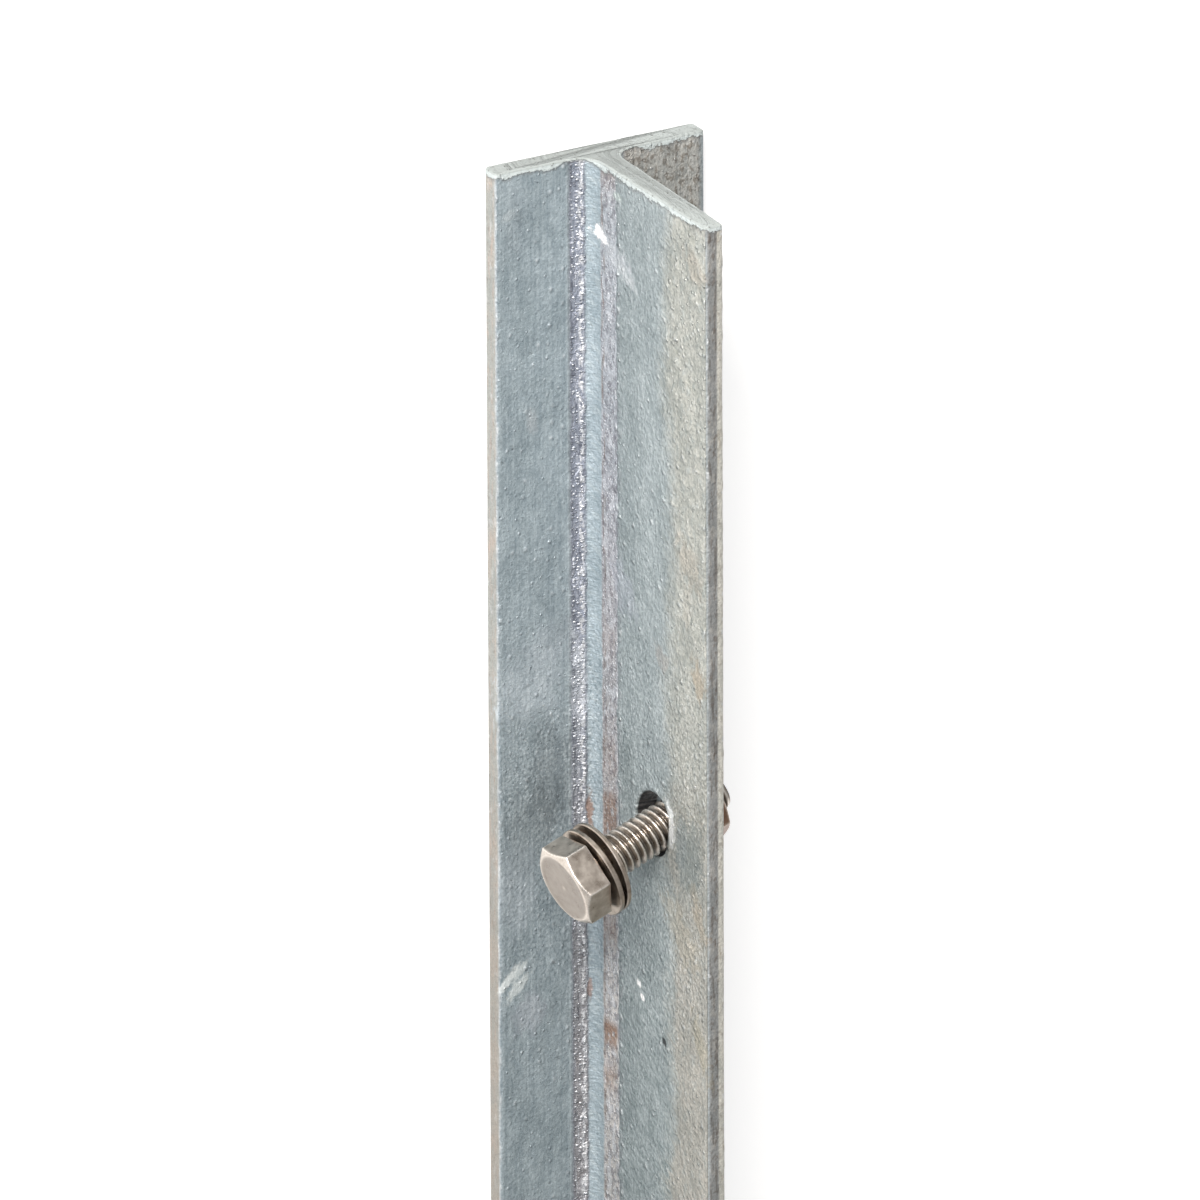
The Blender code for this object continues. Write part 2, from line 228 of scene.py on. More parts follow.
def rowPlaces():
    # one row each cell over the top 200 mm, wider ones down to the foot
    below = math.ceil((bar["fineFromX"] - bar["holeX"]) / bar["cell"])
    above = math.floor((bar["topX"] - bar["holeX"]) / bar["cell"])
    fine = bar["holeX"] + bar["cell"] * np.arange(below, above + 1)
    fine[-1] = bar["topX"]
    coarse = np.linspace(bar["footX"], fine[0], int((fine[0] - bar["footX"]) / bar["coarseCell"]))[:-1]
    return np.concatenate([coarse, fine]), len(coarse) - below


def topPlane(y, z):
    across, along = math.radians(bar["topAcrossDeg"]), math.radians(bar["topAlongWebDeg"])
    return bar["topX"] + math.tan(across) * y - math.tan(along) / math.cos(across) * z


def footPlane(y, z):
    return bar["footX"] + z + 0 * y                  # 45 degree mitre


# stretches of the section where the coat differs, in mm from the toe's middle: it fades in or out between the first
# two places and between the last two
coatParts = {"web": (33.6, 32.0, 1.0, 3.0), "flange": (39.8, 41.0, 53.5, 52.0), "bead": (36.4, 37.2, 40.2, 39.4),
             "strip": (33.9, 33.5, 28.9, 29.4)}
# drops of zinc: part, height, whether they follow the slanting drain, size of a cell both ways, share of cells, seed
coatDrops = [("lumpy", 0.42, True, 2.6, 3.1, 0.55, 21), ("lumpy", 0.27, True, 1.9, 2.4, 0.40, 24),
             ("web", 0.20, False, 3.8, 3.3, 0.34, 31), ("flange", 0.13, False, 3.6, 3.2, 0.34, 41),
             ("flange", 0.10, False, 7.4, 5.3, 0.45, 43)]
# ridges along the bar: place, height, and the distances where they end and where they are full
ridges = {"besideStrip": (28.9, 0.32, 1.1, 0.1), "flangeEdge": (53.0, 0.03, 0.8, 0.0),
          "toeEdge": (1.8, 0.03, 0.7, 0.0)}


def coatHeight(x, s):
    # thickness of the zinc over the steel: slow waves, drops that ran down, a lumpy bead in the root
    f, fromTop = abs(s - toeMiddle), bar["topX"] - x
    parts = {name: smoothStep(a, b, f) * smoothStep(c, d, f) for name, (a, b, c, d) in coatParts.items()}
    web, outer = parts["web"], parts["web"] * smoothStep(19.0, 12.5, f)
    parts["lumpy"] = outer * (0.35 + 0.65 * smoothStep(95, 45, fromTop))
    q, p = (x + s) / 1.414, (x - s) / 1.414          # across and along the way the zinc drained
    height = 0.06 * softNoise(x / 9, s / 7, 3) * (web + parts["flange"])
    height += outer * (0.05 * softNoise(q / 1.6, p / 4.2, 11) + 0.03 * softNoise(q / 1.1, p / 2.4, 12))
    height += web * (0.03 * softNoise(q / 1.4, p / 3.4, 13))
    for part, tall, slanting, first, second, share, seed in coatDrops:
        u, v = (q, p) if slanting else (x, s)
        height += parts[part] * tall * scatteredDrops(u / first, v / second, share, seed)
    grains = 0.20 * softNoise(x / 2.6, s / 2, 51) + 0.16 * softNoise(x / 1.3, s / 1.1, 52) + 0.14
    height += parts["bead"] * grains - parts["strip"] * 0.05
    beaded = 0.1 + scatteredDrops(x / 2.2, s * 0 + 0.5, 0.75, 61)
    for name, (place, tall, ends, full) in ridges.items():
        height += tall * smoothStep(ends, full, abs(f - place)) * (beaded if name == "besideStrip" else 1)
    return height * (0.6 + 0.4 * smoothStep(260, 200, fromTop))


def lipInto(turn):
    # how far the zinc reaches into the hole: a smooth hump round one direction
    away = (turn - math.radians(bar["lipTurnDeg"]) + math.pi) % (2 * math.pi) - math.pi
    return bar["lipReach"] * smoothStep(math.radians(bar["lipSpreadDeg"]), 0, abs(away))


def buildBar(material):
    s, centreNear, centreFar = columnPlaces()
    rows, centreRow = rowPlaces()
    y, z = sectionAt(s)
    step = 0.01
    dy, dz = np.subtract(sectionAt((s + step) % girth), sectionAt((s - step) % girth))
    size = np.hypot(dy, dz)
    ny, nz = dz / size, -dy / size                   # outwards: the tangent turned a quarter

    x2, s2 = np.meshgrid(rows, s, indexing="ij")
    y2, z2 = np.broadcast_to(y, x2.shape).copy(), np.broadcast_to(z, x2.shape).copy()
    # near the ends the rows lean over until they lie in the end planes
    toTop = smoothStep(bar["topX"] - bar["topLean"], bar["topX"], x2)
    toFoot = np.clip((bar["footX"] + bar["footLean"] - x2) / bar["footLean"], 0, 1)
    x2 = x2 + toTop * (topPlane(y2, z2) - bar["topX"]) + toFoot * (footPlane(y2, z2) - bar["footX"])

    # round the hole the lattice of cells opens from a square into a circle, on both web faces
    inner, outer, cell = bar["openCells"], bar["squareCells"], bar["cell"]
    for centre, side in ((centreNear, 1), (centreFar, -1)):
        i, j = np.mgrid[-outer:outer + 1, -outer:outer + 1]
        ring = np.maximum(abs(i), abs(j))
        share = np.clip((ring - inner) / (outer - inner), 0, 1)
        turn = np.arctan2(j, i)
        reach = np.maximum(ring, 1)
        rim = bar["holeRadius"] + bar["rimRoll"] - (lipInto(turn) if side > 0 else 0)
        newX = (1 - share) * rim * np.cos(turn) + share * outer * cell * i / reach
        newZ = (1 - share) * rim * np.sin(turn) + share * outer * cell * j / reach
        block = np.ix_(centreRow + np.arange(-outer, outer + 1), centre + side * np.arange(-outer, outer + 1))
        x2[block] = bar["holeX"] + newX
        z2[block] = bar["holeZ"] + newZ
        y2[block] = side * webHalf(z2[block])
        span = slice(centre - bar["latticeLow"] + 2, centre + bar["latticeLow"] - 2)
        s2[block] = np.interp(z2[block], z[span][::side], s[span][::side])

    lift = coatHeight(x2, s2)
    fromHole = np.hypot(x2 - bar["holeX"], z2 - bar["holeZ"])
    onWeb = (abs(y2) < 3) & (fromHole < 12)
    calm = np.where(onWeb, smoothStep(5.6, 8.5, fromHole), 1)
    lift = lift * calm + np.where(onWeb, bar["rimSwell"] * np.exp(-((fromHole - 6.3) / 0.7) ** 2), 0)
    toEnd = smoothStep(0.0, 1.6, topPlane(y2, z2) - x2)
    lift = lift * (0.35 + 0.65 * toEnd)
    points = np.stack([x2, y2 + ny * lift, z2 + nz * lift], -1)
    points[..., 2] = np.maximum(points[..., 2], -0.05)

    # both ends: the last rows roll inwards over a quarter circle, then one face closes each end
    columnCount = x2.shape[1]
    roll = bar["endRound"]
    wave = 0.16 * softNoise(s / 2.3, s * 0, 71) + 0.10 * softNoise(s / 0.8, s * 0, 72)
    endRings = {}
    for end, plane in ((1, topPlane), (-1, footPlane)):
        endRings[end] = []
        for angle, extra in [(0.0, 0.0), (0.4, 0.0), (0.8, 0.0), (1.2, 0.0), (math.pi / 2, 0.0), (math.pi / 2, 0.12)]:
            inset = roll * (1 - math.cos(angle)) + extra
            edge = points[-1 if end > 0 else 0]
            yIn, zIn = edge[:, 1] - ny * inset, edge[:, 2] - nz * inset
            drop = roll * (1 - math.sin(angle)) * (1 if end > 0 else 1.2)
            swell = wave * (angle > 1.0) * 0.4 if end > 0 else 0
            endRings[end].append(np.stack([plane(yIn, zIn) - end * (drop - swell), yIn, zIn], -1))
    topRings, footRings = endRings[1], endRings[-1]
    body = points.copy()
    body[-1] = topRings[0]
    body[0] = footRings[0]
    stack = np.concatenate([np.array(footRings[:0:-1]), body, np.array(topRings[1:])])
    shift = len(footRings) - 1
    endPlaces = np.broadcast_to(s, (shift, columnCount))
    allPoints, allS = stack.reshape(-1, 3), np.concatenate([endPlaces, s2, endPlaces]).ravel()
    rowCount = len(stack)
    faces = gridFaces(rowCount, columnCount)

    # take out the cells inside the hole
    cellRow, cellColumn = faces[:, 0] // columnCount, faces[:, 0] % columnCount
    rowOff = cellRow - (centreRow + shift)
    inHole = np.zeros(len(faces), bool)
    for centre in (centreNear, centreFar):
        columnOff = cellColumn - centre
        inHole |= (rowOff >= -inner) & (rowOff < inner) & (columnOff >= -inner) & (columnOff < inner)
    faces = faces[~inHole]

    # the bore: rings from the near rim to the far rim, rolled over at both edges
    k = np.arange(2 * inner)
    loopI = np.concatenate([np.full(2 * inner, inner), inner - k, np.full(2 * inner, -inner), -inner + k])
    loopJ = np.concatenate([-inner + k, np.full(2 * inner, inner), inner - k, np.full(2 * inner, -inner)])
    nearLoop = (centreRow + shift + loopI) * columnCount + centreNear + loopJ
    farLoop = (centreRow + shift + loopI) * columnCount + centreFar - loopJ
    start, finish = allPoints[nearLoop], allPoints[farLoop]
    turn = np.arctan2(loopJ, loopI)
    rings = []
    for inset, share in ((0.07, 0.035), (0.0, 0.10), (0.0, 0.3), (0.0, 0.5), (0.0, 0.7), (0.0, 0.90), (0.07, 0.965)):
        radius = bar["holeRadius"] + inset + 0.05 * softNoise(turn * 2.2, turn * 0 + share * 6, 81)
        radius = radius - lipInto(turn) * max(0, 1 - share * 2.5)
        ring = start * (1 - share) + finish * share
        ring[:, 0] = bar["holeX"] + radius * np.cos(turn)
        ring[:, 2] = bar["holeZ"] + radius * np.sin(turn)
        rings.append(ring)
    first = len(allPoints)
    loopSize = len(turn)
    ids = np.concatenate([[nearLoop], first + np.arange(len(rings) * loopSize).reshape(-1, loopSize), [farLoop]])
    allPoints = np.vstack([allPoints] + rings)
    allS = np.concatenate([allS, np.tile(allS[nearLoop], len(rings))])
    follow = np.roll(ids, -1, axis=1)
    bore = np.stack([ids[:-1], ids[1:], follow[1:], follow[:-1]], -1).reshape(-1, 4)

    lastRow = (rowCount - 1) * columnCount + np.arange(columnCount)[None, :]
    groups = [faces, bore, np.arange(columnCount)[None, ::-1], lastRow]
    used = np.zeros(len(allPoints), bool)
    for group in groups:
        used[group.ravel()] = True
    renumber = np.cumsum(used) - 1
    groups = [renumber[group] for group in groups]
    allPoints, allS = allPoints[used], allS[used]

    def profileMap(corners, starts, sizes):
        # U is the length in decimetres, V the way round the section in decimetres; the last column ends at the girth
        u, v = allPoints[corners, 0] / 100, allS[corners] / 100
        highest = np.maximum.reduceat(v, starts)
        wraps = np.repeat((highest > 0.9 * girth / 100) & (sizes == 4), sizes)
        v = np.where(wraps & (v < 0.1 * girth / 100), v + girth / 100, v)
        return np.stack([u, v], -1)

    piece = makePiece("zincTBar", allPoints, groups, material, "t_profile_rod", profileMap)
    return piece


# the clamp screw: where its axis crosses the web's middle, and how it hangs in the hole
hang = {"crossing": (387.4564, 0.0, 23.5721), "droopDeg": 18.1122, "yawDeg": 3.2}


def screwMatrix():
    # Z runs along the screw to its head, X is as near to the world's Z as it can be
    droop, yaw = math.radians(hang["droopDeg"]), math.radians(hang["yawDeg"])
    zAxis = np.array([-math.sin(droop), math.cos(droop) * math.cos(yaw), math.cos(droop) * math.sin(yaw)])
    xAxis = np.array([0, 0, 1.0]) - zAxis[2] * zAxis
    xAxis /= np.linalg.norm(xAxis)
    return np.stack([xAxis, np.cross(zAxis, xAxis), zAxis])


def onScrew(radius, turn, along, columns):
    # polar place round the screw's axis turned into the rod's frame
    local = np.stack(np.broadcast_arrays(radius * np.cos(columns + turn), radius * np.sin(columns + turn), along), -1)
    return local @ screwMatrix() + np.array(hang["crossing"])


def hexRadius(angle, acrossFlats, softness):
    # outline of a hexagon with a corner at angle 0: flats at apothem / cos, corners rounded by an arc
    psi = abs((angle + math.pi / 6) % (math.pi / 3) - math.pi / 6)
    apothem = acrossFlats / 2
    centre = (apothem - softness) / math.cos(math.pi / 6)
    tangent = math.atan2(softness * 0.5, centre + softness * math.cos(math.pi / 6))
    flat = apothem / np.cos(math.pi / 6 - psi)
    arc = centre * np.cos(psi) + np.sqrt(np.maximum(softness ** 2 - (centre * np.sin(psi)) ** 2, 0))
    return np.where(psi < tangent, arc, flat)


sector = np.radians([0, 0.6, 1.2, 3, 7, 12, 18, 24, 30, 36, 42, 48, 53, 57, 58.8, 59.4])
hexColumns = (sector[None, :] + np.radians(60) * np.arange(6)[:, None]).ravel()

screw = {
    "acrossFlats": 13.0, "headHeight": 5.3, "seatFaceHeight": 0.4, "seatFaceRadius": 5.8,
    "headSeat": 15.849, "threadEnd": -11.484, "crestRadius": 3.78, "pitch": 1.36,
    "turnDeg": 6.1, "cornerRound": 0.22, "chamferCircle": 0.95, "rowsPerPitch": 16,
    "threadDepth": 0.50, "faceDish": 0.07,           # depth of the thread in pitches; how far the head's face is sunk
}


def threadRise(along, columns):
    # a ridge of 60 degree flanks that climbs one pitch each turn: 0 at its rounded root, 1 at its rounded crest
    phase = along / screw["pitch"] - columns / (2 * math.pi)
    fromRoot = 2 * abs(phase - np.floor(phase) - 0.5)
    return smoothStep(0.08, 0.90, fromRoot) * 0.45 + np.clip((fromRoot - 0.14) / 0.70, 0, 1) * 0.55


def cornerNearness(angle, reach):
    # 1 on a hexagon's corner, 0 at reach degrees from it
    psi = abs((angle + math.pi / 6) % (math.pi / 3) - math.pi / 6)
    return smoothStep(math.radians(reach), 0, psi) if reach else psi


def ringPoints(rings, turn):
    # all points of a stack of rings, and how much wear with painted highlight and how much painted shade each of them
    # gets
    points = np.array([onScrew(radius, turn, along, hexColumns) for radius, along, wearAndSheen, paintedShade in rings])
    looks = {name: np.array([ring[k] + 0 * hexColumns for ring in rings]) for k, name in ((2, "wearAndSheen"), (3, "paintedShade"))}
    return points, looks


def buildScrew(material):
    # rings from the thread's end to the head's face: (radius at each column, height, wear with painted highlight,
    # painted shade)
    turn = math.radians(screw["turnDeg"])
    end, seat = screw["threadEnd"], screw["headSeat"]
    rings = [(0.4, end + 0.05, 0, 0.3), (1.6, end, 0, 0.3), (2.85, end, 0.4, 0.1)]
    # each thread ring: a painted highlight on the crest, painted shade in the groove
    for along in np.linspace(end + 0.02, seat - 0.35, int((seat - end) / screw["pitch"] * screw["rowsPerPitch"])):
        rise = threadRise(along, hexColumns)
        radius = screw["crestRadius"] - screw["threadDepth"] * screw["pitch"] * (1 - rise)
        radius = np.maximum(np.minimum(radius, 3.0 + 0.42 * (along - end)), 2.9)
        rings.append((radius, along, smoothStep(0.80, 1.0, rise), 0.85 * smoothStep(0.55, 0.05, rise)))
    # painted shade where the shank meets the head and under the head's seat
    rings += [(3.35, seat - 0.30, 0, 0.6), (3.85, seat - 0.02, 0, 0.8)]
    face, low = screw["seatFaceRadius"], seat + screw["seatFaceHeight"]
    rings += [(face - 0.08, seat, 0, 0.7), (face, seat + 0.08, 0, 0.5), (face, low - 0.02, 0, 0.8)]
    outline = hexRadius(hexColumns, screw["acrossFlats"], screw["cornerRound"])
    corner = smoothStep(math.radians(1.6), math.radians(0.6), cornerNearness(hexColumns, 0))
    top = seat + screw["headHeight"]
    rim = screw["chamferCircle"] * screw["acrossFlats"] / 2
    slope = math.tan(math.radians(30))
    shoulder = top - np.maximum(outline - rim, 0) * slope
    rings += [(outline - 0.14, low, 0, 0.7), (outline - 0.03, low + 0.04, 0.5, 0), (outline, low + 0.16, 0.2, 0)]
    rings += [(outline, low + 0.16 + (shoulder - 0.30 - low) * t, corner, 0) for t in (0.12, 0.35, 0.7, 0.93)]
    rings += [(outline, shoulder - 0.14, np.maximum(corner, 0.4), 0), (outline - 0.02, shoulder - 0.06, 1, 0),
              (outline - 0.07, shoulder, 0.9, 0)]
    for t, wearAndSheen in ((0.2, 0.45), (0.5, 0.40), (0.8, 0.40)):
        across = outline - 0.07 + (rim - outline + 0.07) * t
        rings.append((across, top - np.maximum(across - rim, 0) * slope, wearAndSheen, 0))
    rings += [(rim + 0.02, top - 0.015, 0.55, 0), (rim - 0.15, top, 0.35, 0.2), (rim - 0.45, top, 0, 0.5)]
    dish = screw["faceDish"]
    # the head's face is dulled with painted shade
    rings += [(reach, top - sink, 0, 0.60) for reach, sink in
              ((5.3, 0.0), (4.95, 0.05), (4.6, dish), (3.2, dish), (1.8, dish), (0.6, dish))]
    points, looks = ringPoints(rings, turn)
    rowCount, count = points.shape[:2]
    axisPoint = onScrew(np.zeros(2), 0, np.array([end + 0.05, top - dish]), np.zeros(2))
    allPoints = np.vstack([points.reshape(-1, 3), axisPoint])
    j = np.arange(count)
    nextJ = (j + 1) % count
    lowFan = np.stack([np.full(count, rowCount * count), nextJ, j], -1)
    lastRow = (rowCount - 1) * count
    highFan = np.stack([np.full(count, rowCount * count + 1), lastRow + j, lastRow + nextJ], -1)
    looks = {name: np.append(values.ravel(), [0, 0]) for name, values in looks.items()}
    piece = makePiece("hexScrew", allPoints, [gridFaces(rowCount, count), lowFan, highFan], material, "hex_bolt",
                      sharpAngle=40, pointValues=looks)
    return piece


nut = {"acrossFlats": 13.0, "height": 4.0, "seat": -8.784, "boreRadius": 4.05, "turnDeg": 45, "cornerRound": 0.18}


def buildNut(material):
    # one closed band of rings: up the bore, out over the near face, down the flats and back under
    turn = math.radians(nut["turnDeg"])
    outline = hexRadius(hexColumns, nut["acrossFlats"], nut["cornerRound"])
    corner = smoothStep(math.radians(1.6), math.radians(0.6), cornerNearness(hexColumns, 0))
    rim = screw["chamferCircle"] * nut["acrossFlats"] / 2
    slope = math.tan(math.radians(30))
    fall = np.maximum(outline - rim, 0) * slope
    low, top = nut["seat"], nut["seat"] + nut["height"]
    bore = nut["boreRadius"]
    # painted shade in the nut's bore, wear with a painted highlight on its edges and corners
    rings = [(bore, low + 0.35, 0, 1), (bore, (low + top) / 2, 0, 1), (bore, top - 0.35, 0, 1),
             (bore + 0.3, top, 0.2, 0.5), (rim - 0.2, top, 0, 0), (rim, top - 0.01, 0.6, 0),
             (outline * 0.5 + rim * 0.5, top - fall * 0.5, 0.3, 0), (outline - 0.06, top - fall, 0.8, 0),
             (outline, top - fall - 0.10, np.maximum(corner, 0.6), 0), (outline, top - fall - 0.35, corner, 0),
             (outline, (low + top) / 2, corner, 0), (outline, low + fall + 0.35, corner, 0),
             (outline, low + fall + 0.10, np.maximum(corner, 0.6), 0), (outline - 0.06, low + fall, 0.8, 0),
             (outline * 0.5 + rim * 0.5, low + fall * 0.5, 0.3, 0), (rim, low + 0.01, 0.6, 0),
             (rim - 0.2, low, 0, 0), (bore + 0.3, low, 0.2, 0.5)]
    points, looks = ringPoints(rings, turn)
    faces = gridFaces(*points.shape[:2], True)[:, ::-1]
    piece = makePiece("hexNut", points.reshape(-1, 3), [faces], material, "hex_nut", sharpAngle=40, pointValues=looks)
    return piece


def newMaterial(name):
    material = bpy.data.materials.new(name)
    material.use_nodes = True
    tree = material.node_tree
    return material, tree, tree.nodes["Principled BSDF"]


zinc = {
    "flange": "#BFCBD0", "endFace": "#B0B2AD", "edgeHighlight": "#C1C6C8", "root": "#B9C7CE", "web": "#BFC8CA",
    "toe": "#A4A5A4", "toeEdge": "#B9BDBE", "backShade": "#A3ABAD", "bead": "#A6ACBA", "paint": "#BFC8C8",
    "metallic": 0.40, "roughness": 0.40, "runLeanDeg": 57, "falloffShade": "#F0F0EF",
    "paintMean": 0.95, "paintSwing": 3.4, "dullLine": "#787776", "cutLine": "#8D9390",   # paint's reach down, in mm
    "bandReach": 80, "runReach": 230,                # mm that the colours round the section and down the rod take up
}
# what the brush left in the paint: (low and high threshold, strength, colour)
brushMarks = ((0.56, 0.70, 0.35, "#98A09E"), (0.64, 0.68, 0.75, "#62645F"))
# base colours round the section: (mm from the toe's middle, colour); the line between the flange and its end face is
# a painted highlight on the edge's round
zincBands = [(0.0, "toe"), (1.15, "toe"), (1.3, "toeEdge"), (1.5, "toeEdge"), (1.6, "web"), (33.6, "web"),
             (33.9, "root"), (36.7, "root"), (37.0, "bead"), (39.4, "bead"), (39.7, "flange"), (53.2, "flange"),
             # the back's darker tone, seen on its round at the top end, is painted shade
             (53.3, "edgeHighlight"), (53.45, "edgeHighlight"), (53.55, "endFace"), (56.6, "endFace"), (57.4, "backShade")]
# soft noises: (length along the bar, width across it, in mm; 1 where they follow the slanting way the zinc drained)
zincNoises = {
    "streak": (34.0, 0.55, 0), "smudge": (4.5, 0.7, 0), "across": (0.35, 2.4, 0), "cloud": (9.0, 6.0, 0),
    "fine": (0.6, 0.5, 0), "grain": (0.3, 0.3, 0), "runs": (3.2, 0.8, 1),
    "broadRuns": (8.0, 2.4, 1), "patch": (22.0, 15.0, 0), "lumps": (2.6, 1.6, 0), "clump": (1.5, 1.0, 0),
}
# rounded caps, one in some of the cells: (length, width, slanting, share of cells, smallest and largest reach in
# cells, seed)
zincCaps = {
    "pimples": (1.9, 1.7, 1, 0.62, 0.18, 0.50, 3.0), "fewPimples": (3.4, 2.6, 1, 0.42, 0.10, 0.30, 9.0),
    "flangePimples": (3.0, 2.5, 0, 0.50, 0.10, 0.32, 15.0), "pepper": (1.15, 0.95, 1, 0.45, 0.15, 0.42, 21.0),
    "beadGrains": (0.55, 0.80, 0, 0.85, 0.22, 0.66, 27.0), "stripGrains": (0.62, 0.60, 1, 0.75, 0.22, 0.66, 33.0),
    "edgeBeads": (2.7, 2.0, 1, 0.62, 0.14, 0.52, 39.0), "pits": (5.2, 3.6, 1, 0.22, 0.06, 0.17, 45.0),
}
# areas of the coat: (distance that they are measured by, low and high end in mm, softness, what else narrows them)
zincAreas = {
    "all": None, "web": ("round", 1.7, 28.8, 0.2, ()), "flange": ("round", 40.2, 53.3, 0.15, ()),
    "outerWeb": ("ragged", -20.0, 16.5, 3.2, ("besideToe",)),
    "outerLow": ("ragged", -20.0, 15.6, 0.9, ("besideToe", "lowPart")),
    "leftLow": ("round", 13.0, 28.8, 1.0, ("lowPart",)),
    "lumpyWeb": ("ragged", -20.0, 16.5, 3.2, ("besideToe", "topPart")),
    "strip": ("wavy", 29.0, 33.8, 0.22, ()), "stripRust": ("wavy", 29.6, 33.7, 0.5, ("rusty",)),
    "stripInside": ("round", 32.7, 33.8, 0.3, ()), "stripOutside": ("round", 27.9, 29.8, 0.4, ()),
    "root": ("wavy", 33.9, 36.8, 0.2, ()), "bead": ("wavy", 36.9, 39.5, 0.25, ()),
    "lowBead": ("wavy", 36.9, 39.5, 0.25, ("lowPart",)),
    "beadHighlight": ("wavy", 37.2, 38.0, 0.25, ()), "beadShade": ("wavy", 39.2, 39.9, 0.25, ()),
    "farToe": ("round", -1.0, 1.9, 0.3, ("farSide",)), "nearToe": ("round", -1.0, 1.3, 0.3, ("nearSide",)),
    "toeEdgeGlints": ("wavy", 1.25, 1.6, 0.15, ()), "edgeGlints": ("wavy", 53.15, 53.5, 0.2, ()),
    "endFace": ("round", 53.6, 56.8, 0.25, ()),
    "lowEndFace": ("round", 53.6, 56.8, 0.25, ("lowPart",)),
    "farFlange": ("round", 37.0, 52.6, 0.8, ("farSide", "topPart")),
    "byHead": ("fromTop", 86.0, 148.0, 14.0, ("besideEdges",)), "bore": ("fromHole", -1.0, 5.6, 0.06, ("insideWeb",)),
}
